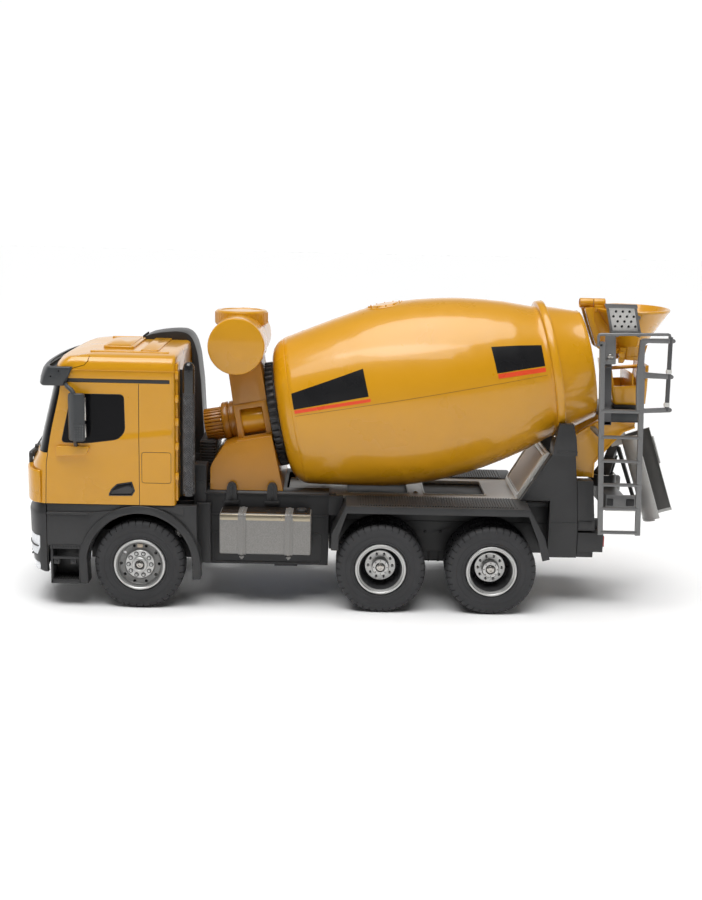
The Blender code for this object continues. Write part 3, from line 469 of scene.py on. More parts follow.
def tyre_shapes(width):
    """The tread ring closed by a plain bore."""
    points, faces, count = tread_ring(width)
    last = len(points) - count
    inner = [(BEAD_R * cos(a), BEAD_R * sin(a)) for a in (atan2(p[1], p[0]) for p in points[:count])]
    start = len(points)
    points += [(x, y, -0.0024) for x, y in inner] + [(x, y, -width + 0.0024) for x, y in inner]
    for i in range(count):
        j = (i + 1) % count
        faces.append((start + i, start + j, j, i))
        faces.append((start + count + j, start + count + i, last + i, last + j))
        faces.append((start + count + i, start + count + j, start + j, start + i))
    return points, faces


def wheel_place(x, side):
    """Own Z points out of the wheel's face."""
    return Matrix.Translation((x, side * FACE_Y, TYRE_R)) @ Matrix.Rotation(-side * pi / 2, 4, "X")


def bolt_circle(place, count, radius, height, make):
    """Copies of what make gives, evenly spaced on a circle."""
    return [make(place @ Matrix.Rotation(2 * pi * i / count, 4, "Z")
                 @ Matrix.Translation((radius, 0, height))) for i in range(count)]


def nut(radius, tall, steps=6, crown=0.55):
    """Maker of a nut with a bolt end, for bolt_circle."""
    return lambda place: lathe(
        [(0.0, -0.0006), (radius, -0.0006), (radius, tall * 0.7), (radius * 0.82, tall),
         (radius * crown, tall), (radius * crown * 0.9, tall * 1.5), (0.0, tall * 1.6)], steps, place
    )


def hole(radius, depth=0.004, steps=16):
    """Maker of a drill, for bolt_circle."""
    return lambda place: lathe([(0.0, -depth), (radius, -depth), (radius, depth), (0.0, depth)], steps, place)


def front_wheel(name, side, body):
    """Rim with drilled holes, lip, disc, hub, nuts and tyre of a front wheel."""
    place = wheel_place(FRONT_AXLE_X, side)
    rim = [
        (0.006, -0.018), (0.006, -0.0066), (0.0164, -0.0066), (0.0164, -0.0186), (0.02, -0.0186),
        (0.02, -0.006), (0.0199, -0.0012), (0.0196, -0.0008), (0.0188, -0.0007), (0.0184, -0.001),
        (0.018, -0.0022), (0.0172, -0.0026), (0.0169, -0.0032), (0.0166, -0.0044), (0.0158, -0.0052),
        (0.013, -0.005), (0.0118, -0.0046), (0.0114, -0.0042), (0.0112, -0.0034), (0.0108, -0.0032),
        (0.0064, -0.0031), (0.0058, -0.0031), (0.0057, -0.0012), (0.0053, -0.0006), (0.0044, -0.0004),
        (0.0036, -0.001), (0.0034, -0.006), (0.0034, -0.018),
    ]
    # The rim under the lip and disc is darker grey: painted shade of its recessed ring.
    piece(f"front_wheel_rim_{name}", [lathe(rim, 72, place, closed=True)], "rim_mid", body,
          [f"front_rim_{name}"], cuts=[bolt_circle(place, 10, 0.0148, -0.005, hole(0.00125))], angle=28)
    lip = [(0.0196, -0.006), (0.0201, -0.0058), (0.0201, -0.0011), (0.0197, -0.0006), (0.0187, -0.0005),
           (0.0182, -0.0009), (0.0178, -0.0023), (0.0172, -0.0027), (0.0174, -0.0034)]
    piece(f"front_wheel_lip_{name}", [lathe(lip, 72, place, closed=True)], "rim_silver", body, angle=28)
    disc = [(0.0059, -0.0045), (0.0113, -0.0045), (0.0113, -0.0034), (0.0109, -0.003), (0.0063, -0.0029),
            (0.0059, -0.003)]
    piece(f"front_wheel_disc_{name}", [lathe(disc, 72, place, closed=True)], "rim_silver", body, angle=28)
    piece(f"front_wheel_nut_seats_{name}", bolt_circle(place, 10, 0.0088, -0.0031, lambda spot: lathe(
        [(0.0, -0.0004), (0.0018, -0.0004), (0.0018, 0.0003), (0.0, 0.0003)], 20, spot)), "rim_dark", body)
    hub = [(0.0036, -0.004), (0.006, -0.004), (0.006, -0.001), (0.0055, -0.0004), (0.0046, -0.0002),
           (0.004, -0.0006), (0.0036, -0.0016)]
    piece(f"front_wheel_hub_{name}", [lathe(hub, 48, place, closed=True)], "rim_silver", body, angle=28)
    piece(f"front_wheel_nuts_{name}",
          bolt_circle(place, 10, 0.0088, -0.0031, nut(0.00115, 0.001, 12, 0.6)), "rim_silver", body)
    piece(f"front_wheel_valve_plate_{name}",
          [moved(block((-0.0021, 0.0132, -0.005), (0.0021, 0.016, -0.004)), place)], "beige", body,
          bevel=0.0003)
    piece(f"front_wheel_screw_{name}", [screw(place @ Matrix.Translation((0, 0, -0.0022)), 0.003, 0.0013)],
          "steel", body)
    piece(f"front_wheel_cup_{name}",
          [lathe([(0.0, -0.0032), (0.0035, -0.0032), (0.0035, -0.0026), (0.0, -0.0026)], 24, place)],
          "rim_dark", body)
    piece(f"front_wheel_tyre_{name}", [moved(tyre_shapes(TYRE_W), place)], "tyre", body,
          [f"front_tyre_{name}"], angle=40)


def dual_wheel(axle, x, name, side):
    """Twin rear wheel: deep dish, flange, hub and two tyres with a spacer between them."""
    body = f"{axle}_axle"
    place = wheel_place(x, side)
    lip = [(0.016, -0.0395), (0.02, -0.0395), (0.02, -0.006), (0.02, -0.0012), (0.0196, -0.0007),
           (0.0186, -0.0006), (0.0182, -0.0009), (0.0178, -0.0018), (0.017, -0.0022), (0.0167, -0.0028),
           (0.0165, -0.006), (0.016, -0.015)]
    piece(f"{axle}_wheel_lip_{name}", [lathe(lip, 72, place, closed=True)], "rim_silver", body,
          [f"{axle}_rim_{name}"], angle=28)
    dish = [(0.003, -0.023), (0.0165, -0.023), (0.0165, -0.003), (0.0161, -0.004), (0.0158, -0.012),
            (0.0148, -0.0172), (0.014, -0.0178), (0.0128, -0.0172), (0.0126, -0.016), (0.0122, -0.0156),
            (0.0068, -0.0155), (0.0064, -0.0152), (0.003, -0.0152)]
    # The deep dish is near-black: painted shade.
    piece(f"{axle}_wheel_dish_{name}", [lathe(dish, 72, place, closed=True)], "rim_dark", body,
          cuts=[bolt_circle(place, 10, 0.0142, -0.0175, hole(0.001))], angle=28)
    flange = [(0.006, -0.0157), (0.0121, -0.0157), (0.0121, -0.0142), (0.0118, -0.0139), (0.006, -0.0139)]
    piece(f"{axle}_wheel_flange_{name}", [lathe(flange, 60, place, closed=True)], "rim_silver", body,
          cuts=[bolt_circle(place, 10, 0.0095, -0.014, hole(0.00125, 0.0012))], angle=28)
    piece(f"{axle}_wheel_studs_{name}", bolt_circle(place, 10, 0.0095, -0.0154, nut(0.0008, 0.0008, 10)),
          "rim_dark", body)
    hub = [(0.0034, -0.023), (0.0068, -0.016), (0.0068, -0.0085), (0.0065, -0.0075), (0.0062, -0.0072),
           (0.004, -0.0071), (0.0037, -0.0076), (0.0034, -0.011)]
    piece(f"{axle}_wheel_hub_{name}", [lathe(hub, 48, place, closed=True)], "rim_silver", body, angle=28)
    piece(f"{axle}_wheel_hub_nuts_{name}", bolt_circle(place, 8, 0.0053, -0.0073, nut(0.00045, 0.0004, 8)),
          "rim_dark", body)
    piece(f"{axle}_wheel_screw_{name}", [screw(place @ Matrix.Translation((0, 0, -0.0078)), 0.0032, 0.0012)],
          "steel", body)
    ring = moved(tyre_shapes(TYRE_W), place)
    inner = moved(
        tyre_shapes(TYRE_W), place @ Matrix.Translation((0, 0, -0.0205)) @ Matrix.Rotation(0.08, 4, "Z")
    )
    spacer = lathe([(BEAD_R, -0.0175), (0.0262, -0.018), (0.0262, -0.0225), (BEAD_R, -0.023)], 60, place,
                   closed=True)
    piece(f"{axle}_wheel_tyres_{name}", [ring, inner, spacer], "tyre", body, [f"{axle}_tyre_{name}"],
          angle=40)


def wheels():
    """Front wheels and the two driven axles."""
    for name, side in SIDES:
        front_wheel(name, side, f"front_wheel_{name}")
        dual_wheel("mid", MID_AXLE_X, name, side)
        dual_wheel("rear", REAR_AXLE_X, name, side)


# Drum.
TILT = radians(10.5)
SEAM = Vector((-0.0502, 0.0, 0.147))
DRUM_PLACE = Matrix.Translation(SEAM) @ Matrix.Rotation(pi / 2 - TILT, 4, "Y")  # own Z along the drum's axis
TRACK_U = 0.207
DRUM_CURVE = [  # distance from the seam along the axis, radius
    (0.0, 0.0602), (0.015, 0.0633), (0.04, 0.0683), (0.062, 0.0722), (0.074, 0.0736), (0.086, 0.0742),
    (0.098, 0.0742), (0.11, 0.0737), (0.128, 0.0719), (0.144, 0.0694), (0.162, 0.0655), (0.18, 0.0606),
    (0.2, 0.0536),
]


def drum_radius(u):
    """Radius of the drum's skin at a distance from the seam."""
    for (u0, r0), (u1, r1) in zip(DRUM_CURVE, DRUM_CURVE[1:]):
        if u0 <= u <= u1:
            return r0 + (r1 - r0) * (u - u0) / (u1 - u0)
    return DRUM_CURVE[0][1]


def drum_point(u, angle, lift=0.0):
    """Point on the drum's skin; angle 0 is the drum's left side, and it grows towards the top."""
    radius = drum_radius(u) + lift
    return tuple(DRUM_PLACE @ Vector((-radius * sin(angle), -radius * cos(angle), u)))


def skin_patch(corners, lift, rows=14, columns=40, thick=0.00012):
    """Closed patch on the drum; its corners are (u, angle): low start, low end, high end, high start."""
    (a0, a1), (b0, b1), (c0, c1), (d0, d1) = corners
    points = []
    for level in (lift, lift - thick):
        for i in range(rows + 1):
            s = i / rows
            for k in range(columns + 1):
                t = k / columns
                u = (1 - s) * ((1 - t) * a0 + t * b0) + s * ((1 - t) * d0 + t * c0)
                angle = (1 - s) * ((1 - t) * a1 + t * b1) + s * ((1 - t) * d1 + t * c1)
                points.append(drum_point(u, angle, level))
    wide, layer = columns + 1, (rows + 1) * (columns + 1)
    faces = []
    for i in range(rows):
        for k in range(columns):
            quad = (i * wide + k, i * wide + k + 1, (i + 1) * wide + k + 1, (i + 1) * wide + k)
            faces += [quad, tuple(layer + p for p in quad[::-1])]
    edge = [*range(wide)] + [i * wide + columns for i in range(1, rows + 1)]
    edge += [rows * wide + k for k in range(columns - 1, -1, -1)] + [i * wide for i in range(rows - 1, 0, -1)]
    for p, q in zip(edge, edge[1:] + edge[:1]):
        faces.append((q, p, layer + p, layer + q))
    return points, faces


# Painted bands as (u, angle) corners: black, and orange under it, at the front and the rear of the drum.
BAND_FRONT = (
    [(0.0018, 9.9), (0.0605, 10.4), (0.0595, 28.1), (0.0018, 21.9)],
    [(0.002, 6.8), (0.0613, 7.0), (0.0617, 8.9), (0.002, 9.3)],
)
BAND_REAR = (
    [(0.1602, 12.0), (0.1985, 12.6), (0.1985, 30.5), (0.159, 30.6)],
    [(0.1606, 8.4), (0.1985, 7.8), (0.1985, 11.4), (0.1604, 11.6)],
)
PARTING_ANGLE = 5.0


def drum():
    """Drum with its track, painted bands, hatch, gear and, as a guess, mixing blades inside."""
    groove = 0.00018
    outside = [(0.0, -0.012), (0.03, -0.012), (0.042, -0.0118), (0.048, -0.0111), (0.053, -0.0092),
               (0.0565, -0.0062), (0.0588, -0.003), (0.06, -0.0003), (0.06 - groove, -0.0001),
               (0.0602 - groove, 0.0002)]
    outside += [(drum_radius(0.0004 + 0.1996 * i / 60), 0.0004 + 0.1996 * i / 60) for i in range(61)]
    track = [(0.053, TRACK_U - 0.0042), (0.0534, TRACK_U - 0.0034), (0.0562, TRACK_U - 0.003),
             (0.0567, TRACK_U - 0.0024), (0.0567, TRACK_U + 0.0024), (0.0562, TRACK_U + 0.003),
             (0.0524, TRACK_U + 0.0034), (0.0518, TRACK_U + 0.0044)]
    mouth = [(0.0442, 0.2345), (0.044, 0.2368), (0.043, 0.2378), (0.0412, 0.2378), (0.0404, 0.2368),
             (0.0412, 0.233)]
    inside = [(0.0512, 0.2), (0.0634, 0.162), (0.0699, 0.128), (0.0722, 0.1), (0.0722, 0.082),
              (0.0702, 0.062), (0.058, 0.001), (0.048, -0.0085), (0.0, -0.0095)]
    profile = outside + track + mouth + inside
    piece("drum_body", [lathe(profile, 144, DRUM_PLACE)], "yellow", "drum", ["drum_shell"], angle=50)

    lines = []
    for turn in (0.0, pi):
        low, high = radians(PARTING_ANGLE - 0.13) + turn, radians(PARTING_ANGLE + 0.13) + turn
        corners = [(0.002, low), (0.1995, low), (0.1995, high), (0.002, high)]
        lines.append(skin_patch(corners, 0.00006, 1, 60, 0.0003))
    piece("drum_parting_lines", lines, "line", "drum")

    black, orange = [], []
    for turn in (0.0, pi):
        for low, high in (BAND_FRONT, BAND_REAR):
            black.append(skin_patch([(u, radians(a) + turn) for u, a in low], 0.0001))
            orange.append(skin_patch([(u, radians(a) + turn) for u, a in high], 0.0001, 3))
    piece("drum_black_bands", black, "band_black", "drum")
    piece("drum_orange_bands", orange, "band_orange", "drum")

    top = DRUM_PLACE @ Matrix.Translation(
        (-drum_radius(0.085) + 0.0018, 0, 0.085)
    ) @ Matrix.Rotation(-pi / 2, 4, "Y")
    lid = [(0.0, -0.006), (0.0165, -0.006), (0.0165, 0.0004), (0.0161, 0.0009), (0.015, 0.001),
           (0.0146, 0.0006), (0.012, 0.0006), (0.0116, 0.0014), (0.0108, 0.002), (0.0, 0.0022)]
    piece("drum_hatch", [lathe(lid, 64, top)], "yellow", "drum")
    piece("drum_hatch_bolts", bolt_circle(top, 12, 0.0134, 0.0006, nut(0.001, 0.0011)), "yellow", "drum")

    blades, blade_steps = [], 96
    for start in (0.0, pi):
        rows = []
        for i in range(blade_steps + 1):
            t = i / blade_steps
            u = 0.232 - 0.2 * t
            wall = min(drum_radius(min(u, 0.2)) - 0.0024, 0.041 + max(0.0, 0.234 - u) * 0.4)
            a = start + 2.6 * pi * t
            ramp = min(1.0, 8 * t + 0.3)
            edge = wall - 0.013 * ramp
            rows.append([tuple(DRUM_PLACE @ Vector((r * cos(a), r * sin(a), u + side)))
                         for r, side in ((wall, 0.0004), (edge, 0.0004), (edge, -0.0004), (wall, -0.0004))])
        blades.append(loft(rows))
    piece("drum_mixing_blades", blades, "yellow", "drum")

    teeth, tip, root = 44, 0.0426, 0.04
    rim = []
    for tooth in range(teeth):
        for share, radius in ((0.0, root), (0.1, root), (0.22, tip), (0.52, tip), (0.64, root)):
            a = 2 * pi * (tooth + share) / teeth
            rim.append((radius * cos(a), radius * sin(a)))
    gear = moved(prism(rim, "xy", -0.019, -0.0132), DRUM_PLACE)
    back = lathe([(0.0, -0.0134), (0.0405, -0.0134), (0.0405, -0.0122), (0.0, -0.0122)], 72, DRUM_PLACE)
    face = lathe([(0.0, -0.02), (0.034, -0.02), (0.035, -0.0194), (0.036, -0.0188), (0.0, -0.0188)], 72,
                 DRUM_PLACE)
    shaft = lathe([(0.0, -0.036), (0.0056, -0.036), (0.006, -0.0356), (0.006, -0.015), (0.0, -0.015)], 32,
                  DRUM_PLACE)
    piece("drum_gear", [gear, back, face, shaft], "black", "drum", ["drum_ring_gear"], bevel=0.0003)


# Stage, light and camera.
def stage():
    """Pale floor, studio sky, overhead sun and a soft box."""
    floor = bpy.data.objects.new("floor", mesh_of("floor", [block((-6, -6, -0.02), (6, 6, 0.0))]))
    bpy.context.scene.collection.objects.link(floor)
    pale = bpy.data.materials.new("pale_floor")
    pale.use_nodes = True
    shader = pale.node_tree.nodes["Principled BSDF"]
    shader.inputs["Base Color"].default_value = (0.96, 0.96, 0.96, 1)
    shader.inputs["Roughness"].default_value = 0.6
    shader.inputs["Specular IOR Level"].default_value = 0.25
    floor.data.materials.append(pale)

    # A studio sky: white behind the truck, dimmer in front of it and overhead, where the soft lamps hang.
    world = bpy.data.worlds.new("studio")
    bpy.context.scene.world = world
    world.use_nodes = True
    nodes, links = world.node_tree.nodes, world.node_tree.links
    way, split, product = (nodes.new(f"ShaderNode{kind}") for kind in ("TexCoord", "SeparateXYZ", "Math"))
    product.operation = "MULTIPLY"
    links.new(way.outputs["Generated"], split.inputs["Vector"])
    for slot, (axis, *numbers) in enumerate((("Z", 0.16, 0.5, 1.02, 0.2), ("Y", -0.4, 0.1, 0.18, 1.0))):
        shade = nodes.new("ShaderNodeMapRange")
        for socket, number in zip(("From Min", "From Max", "To Min", "To Max"), numbers):
            shade.inputs[socket].default_value = number
        links.new(split.outputs[axis], shade.inputs["Value"])
        links.new(shade.outputs["Result"], product.inputs[slot])
    links.new(product.outputs["Value"], nodes["Background"].inputs["Strength"])
    nodes["Background"].inputs["Color"].default_value = (1.0, 1.0, 1.0, 1)

    def sun(name, toward, power, spread):
        light = bpy.data.lights.new(name, "SUN")
        light.energy, light.angle = power, radians(spread)
        lamp = bpy.data.objects.new(name, light)
        lamp.rotation_euler = Vector(toward).to_track_quat("-Z", "Y").to_euler()
        bpy.context.scene.collection.objects.link(lamp)

    sun("overhead", (0.06, 0.12, -1.0), 2.85, 55)
    soft = bpy.data.lights.new("softbox", "AREA")
    soft.shape, soft.size, soft.size_y, soft.energy = "RECTANGLE", 1.1, 0.35, 4.0
    box = bpy.data.objects.new("softbox", soft)
    box.location = (-0.2, -0.55, 1.1)
    box.rotation_euler = (Vector((0.0, 0.0, 0.12)) - box.location).to_track_quat("-Z", "Y").to_euler()
    bpy.context.scene.collection.objects.link(box)


def camera():
    """Camera matched to the photo, low and nearly square to the truck's side."""
    turn, down, roll = radians(0.52), radians(11.22), radians(1.3)
    forward = Vector((sin(turn) * cos(down), cos(turn) * cos(down), -sin(down)))
    right = Vector((cos(turn), -sin(turn), 0))
    up = right.cross(forward)
    across, above = right * cos(roll) + up * sin(roll), up * cos(roll) - right * sin(roll)
    view = bpy.data.cameras.new("camera")
    view.lens, view.sensor_width, view.clip_start, view.clip_end = 52.0, 36.0, 0.01, 50
    made = bpy.data.objects.new("camera", view)
    made.matrix_world = Matrix.Translation((-0.0145, -1.048, 0.323)) @ Matrix(
        (across, above, -forward)
    ).transposed().to_4x4()
    bpy.context.scene.collection.objects.link(made)
    bpy.context.scene.camera = made
    bpy.context.scene.view_settings.view_transform = "Standard"


# Cab.
CAB_LEVELS = [  # z, nose x, half width, rear x
    (0.083, -0.2575, 0.0735, -0.14), (0.1, -0.2575, 0.0735, -0.14), (0.112, -0.257, 0.0735, -0.14),
    (0.1195, -0.2525, 0.0735, -0.14), (0.178, -0.2378, 0.0735, -0.14), (0.186, -0.2362, 0.0732, -0.14),
    (0.19, -0.2345, 0.0724, -0.14), (0.1935, -0.2315, 0.071, -0.1401), (0.1962, -0.2265, 0.0686, -0.1404),
    (0.1974, -0.219, 0.0648, -0.1409), (0.1981, -0.211, 0.059, -0.1416), (0.1987, -0.199, 0.046, -0.143),
    (0.1989, -0.185, 0.025, -0.145),
]
DOOR_FRONT = [  # z, x of the door's front edge
    (0.083, -0.2395), (0.115, -0.2385), (0.14, -0.234), (0.172, -0.2265), (0.178, -0.2262), (0.19, -0.224),
    (0.1962, -0.218), (0.1981, -0.202), (0.1989, -0.18),
]
CAB_HALF = 0.0735


def between(table, value):
    """Row of a table at a value of its first column, on straight lines between rows."""
    value = min(max(value, table[0][0]), table[-1][0])
    for low, high in zip(table, table[1:]):
        if value <= high[0]:
            share = (value - low[0]) / (high[0] - low[0])
            return [a + (b - a) * share for a, b in zip(low[1:], high[1:])]
    return list(table[-1][1:])


def nose_points(nose, half, side_x, count=32, start=-1.0, end=1.0, power=3.0):
    """Front of the cab in plan: flat across, round at the corners; start and end are shares of the width."""
    spots = [start + (end - start) * i / count for i in range(count + 1)]
    spots = [sin(pi / 2 * s) if (start, end) == (-1.0, 1.0) else s for s in spots]
    return [(side_x + (nose - side_x) * max(0.0, 1 - abs(s) ** power) ** 0.5, half * s) for s in spots]


def crease(x, z):
    """How far the door stands proud along the line that climbs to the rear."""
    if x < -0.229 or x > -0.141:
        return 0.0
    away = z - (0.1285 + 0.0105 * (x + 0.227) / 0.087)
    near = max(0.0, 1 - abs(away) / (0.0035 if away > 0 else 0.011))
    return 0.0009 * near * min(1.0, (x + 0.229) / 0.03)


def cab_outline(z, inset=0.0):
    """Plan of the cab at a height, drawn in by the inset."""
    nose, half, rear = between(CAB_LEVELS, z)
    side_x = between(DOOR_FRONT, z)[0] + 0.3 * inset
    nose, half, rear = nose + inset, half - inset, rear - inset
    front = nose_points(nose, half, side_x)
    along = [side_x + (rear - 0.003 - side_x) * i / 20 for i in range(1, 21)]
    right = [(x, half) for x in along]
    corner = [(rear - 0.003 + 0.003 * sin(radians(a)), half - 0.003 + 0.003 * cos(radians(a)))
              for a in (22, 45, 68)]
    right += corner + [(rear, half - 0.003)]
    back = [(rear, (half - 0.003) * (1 - i / 4)) for i in range(1, 8)]
    return front + right + back + [(x, -y) for x, y in right[::-1]]


def cab_loft(levels, inset=0.0):
    """The cab's body through the given heights."""
    return loft([[(x, y, z) for x, y in cab_outline(z, inset)] for z in levels])


def spread(low, high, count):
    """Evenly spaced values, both ends included."""
    return [low + (high - low) * i / count for i in range(count + 1)]


def side_groove(path, width=0.0005, depth=0.0008):
    """Slot cut in both sides of the cab along a path of (x, z)."""
    return both([prism(ribbon(path, width), "xz", CAB_HALF - depth, CAB_HALF + 0.003)])


WINDOW = [(-0.227, 0.1308), (-0.2185, 0.169), (-0.1785, 0.169), (-0.1778, 0.14), (-0.1835, 0.1338),
          (-0.208, 0.1305)]
HANDLE = [(-0.1906, 0.0903), (-0.1905, 0.0916), (-0.1886, 0.0951), (-0.1846, 0.0989), (-0.1735, 0.1008),
          (-0.1713, 0.0942), (-0.1735, 0.0906)]


def cab_body():
    """Cab shell with windows, seams and grooves cut in, and its glass, seals and mouldings."""
    levels = [0.083, 0.085, 0.092, 0.1, 0.106, 0.112, 0.1158, 0.1195] + spread(0.121, 0.145, 16)
    levels += spread(0.148, 0.175, 8) + [0.178, 0.182, 0.186, 0.1882, 0.19, 0.1918, 0.1935, 0.195]
    levels += [0.1962, 0.1968, 0.1974, 0.1978, 0.1981, 0.1984, 0.1987, 0.1989]
    window = rounded(WINDOW, 0.0038, 5)
    screen_edge = [(between(DOOR_FRONT, z)[0] - 0.0002, z) for z in spread(0.1225, 0.1748, 8)]
    screen = [(-0.27, 0.1225), *screen_edge, (-0.27, 0.1748)]
    rear_seam = [(-0.1675, 0.082), (-0.1675, 0.177)]
    front_seam = [(between(DOOR_FRONT, z)[0], z) for z in spread(0.082, 0.1225, 6)]
    hatch = rounded(rectangle((-0.1655, -0.1432), (0.1005, 0.1245)), 0.0022, 4)
    fairing = [(-0.224, 0.1845), (-0.217, 0.188), (-0.2085, 0.1905), (-0.206, 0.1935), (-0.2045, 0.2)]
    cuts = [
        cab_loft([0.07, 0.09, 0.112, 0.1195, 0.178, 0.186, 0.19, 0.1935, 0.195], 0.0016),
        prism(window, "xz", -0.09, 0.09),
        prism(screen, "xz", -0.09, 0.09),
        both([prism(HANDLE, "xz", CAB_HALF - 0.0014, 0.08)]),
        block((-0.27, -0.042, 0.0865), (-0.2545, 0.042, 0.116)),
        side_groove(rear_seam), side_groove(front_seam),
        both([band(hatch, 0.0004, "xz", CAB_HALF - 0.0006, CAB_HALF + 0.003)]),
        both([prism(ribbon(fairing, 0.0005), "xz", 0.066, 0.08)]),
        both([prism(rectangle((-0.2235, -0.144), (0.1775, 0.1805)), "xz", CAB_HALF - 0.001, 0.08)]),
    ]
    body = piece("cab_body", [cab_loft(levels)], "yellow", stands_for=["cab_shell"], cuts=cuts, angle=30)
    for vertex in body.data.vertices:
        x, y, z = vertex.co
        if abs(y) > CAB_HALF - 0.0001:
            vertex.co.y += crease(x, z) * (1 if y > 0 else -1)

    lines = [prism(ribbon(path, 0.0005), "xz", CAB_HALF - 0.0016, CAB_HALF - 0.0006)
             for path in (rear_seam, front_seam)]
    lines += [band(hatch, 0.0004, "xz", CAB_HALF - 0.0014, CAB_HALF - 0.0004)]
    piece("cab_seam_shadows", both(lines), "black")
    glass = cab_loft(spread(0.12, 0.1785, 12), 0.0007)
    piece("cab_glass", [glass], "glass", stands_for=["cab_glazing"], cuts=[
        cab_loft([0.11, 0.1195, 0.19], 0.0018), block((-0.17, -0.1, 0.1), (-0.1, 0.1, 0.2))], angle=30)
    seal = [band(window, 0.0009, "xz", CAB_HALF - 0.0014, CAB_HALF - 0.0001)]
    piece("cab_window_seals", both(seal), "black", bevel=0.0002)

    stripe = [prism(rectangle((-0.2234, -0.1441), (0.1776, 0.1804)),
                    "xz", CAB_HALF - 0.0012, CAB_HALF + 0.0001)]
    piece("cab_side_mouldings", both(stripe), "black", bevel=0.0003)


def cab_details():
    """Mirror bases, door handles, grille, roof, wipers and rear corners of the cab."""
    bump = rounded([(-0.2305, 0.1208), (-0.2305, 0.124), (-0.23, 0.1286), (-0.2046, 0.1286),
                    (-0.2072, 0.1222)], 0.0018, 4)
    piece("mirror_bases", both([prism(bump, "xz", 0.072, 0.0766)]), "yellow", bevel=0.0018, segments=4,
          angle=40)

    pocket = [prism(HANDLE, "xz", CAB_HALF - 0.0015, CAB_HALF - 0.0008)]
    frame_outer = [band(HANDLE, 0.001, "xz", CAB_HALF - 0.0012, CAB_HALF + 0.0003)]
    lever = [prism(rounded([(-0.188, 0.0935), (-0.1848, 0.0972), (-0.1742, 0.0995), (-0.1728, 0.0955)],
                           0.0012), "xz", CAB_HALF - 0.001, CAB_HALF + 0.0011)]
    piece("door_handles", both(pocket + frame_outer + lever), "gloss_black", bevel=0.0003)

    outer = nose_points(-0.2612, 0.0739, -0.2432, 20, 0.6, 1.0)
    inner = nose_points(-0.256, 0.0712, -0.2436, 20, 0.6, 1.0)
    piece("front_corner_panels", both([prism(outer + inner[::-1], "xy", 0.0832, 0.1088)]), "yellow",
          bevel=0.0021, segments=4, angle=50)

    grille = [block((-0.2556, -0.0425, 0.086), (-0.2546, 0.0425, 0.1165))]
    for i in range(5):
        z = 0.0885 + i * 0.006
        grille.append(prism([(-0.2582, z + 0.001), (-0.2582, z + 0.0026), (-0.2548, z + 0.0034),
                             (-0.2548, z)], "xz", -0.0418, 0.0418))
    for y in (-0.028, 0.0, 0.028):
        grille.append(block((-0.2572, y - 0.0008, 0.0862), (-0.2548, y + 0.0008, 0.1163)))
    piece("front_grille", grille, "black", bevel=0.0003)
    frame_outline = rounded([(-0.0432, 0.0848), (0.0432, 0.0848), (0.0432, 0.1172), (-0.0432, 0.1172)], 0.003)
    hole_outline = rounded([(-0.0414, 0.0866), (0.0414, 0.0866), (0.0414, 0.1154), (-0.0414, 0.1154)], 0.002)
    piece("front_grille_frame", [prism(frame_outline, "yz", -0.259, -0.256)], "dark_grey",
          cuts=[prism(hole_outline, "yz", -0.27, -0.25)], bevel=0.0006)

    # Roof: raised panels, the hatch lid and the gutters.
    roof = [prism(rounded([(-0.202, -0.03), (-0.177, -0.034), (-0.177, 0.034), (-0.202, 0.03)], 0.004), "xy",
                  0.196, 0.2006)]
    roof += [prism(rounded([(-0.17, -0.048), (-0.156, -0.048), (-0.156, 0.048), (-0.17, 0.048)], 0.003), "xy",
                   0.196, 0.2001)]
    roof += both([prism(rounded([(-0.208, 0.0475), (-0.147, 0.05), (-0.147, 0.0535), (-0.208, 0.051)],
                                0.0012), "xy", 0.196, 0.1993)])
    piece("roof_panels", roof, "yellow", bevel=0.0012, segments=3)
    rim = rounded([(-0.199, -0.027), (-0.18, -0.03), (-0.18, 0.03), (-0.199, 0.027)], 0.003)
    piece("roof_hatch_lid", [prism(rim, "xy", 0.2003, 0.2011)], "yellow", bevel=0.0004)

    gutters = [prism([(-0.2215, 0.1866), (-0.14, 0.1866), (-0.14, 0.1872), (-0.2215, 0.1872)],
                     "xz", 0.072, 0.0737)]
    piece("roof_gutters", both(gutters), "yellow", bevel=0.0002)

    wiper = []
    for y in (-0.042, -0.005, 0.032):
        foot = (between(CAB_LEVELS, 0.1215)[0] - 0.0008, y, 0.1215)
        tip = (between(CAB_LEVELS, 0.131)[0] - 0.0012, y + 0.033, 0.131)
        wiper += [rod(foot, tip, 0.0007, 8, 0.0004),
                  rod((foot[0] + 0.0015, y, 0.1213), (foot[0] - 0.0012, y, 0.1216), 0.0016, 12)]
        low = (tip[0] - 0.0002, tip[1] - 0.015, tip[2] - 0.0055)
        high = (tip[0] + 0.0012, tip[1] + 0.004, tip[2] + 0.0075)
        wiper += [pipe([low, tip, high], 0.00055, 8)]
    piece("wipers", wiper, "black")

    # Rear corners of the cab: a vertical trim with small catches.
    catches = [block((-0.1402, 0.056, 0.086), (-0.1382, 0.07, 0.1925))]
    for z in (0.1055, 0.129, 0.148, 0.166, 0.184):
        catches.append(block((-0.1402, 0.069, z - 0.003), (-0.1374, 0.0724, z + 0.003)))
    piece("cab_corner_catches", both(catches), "yellow", bevel=0.0007)


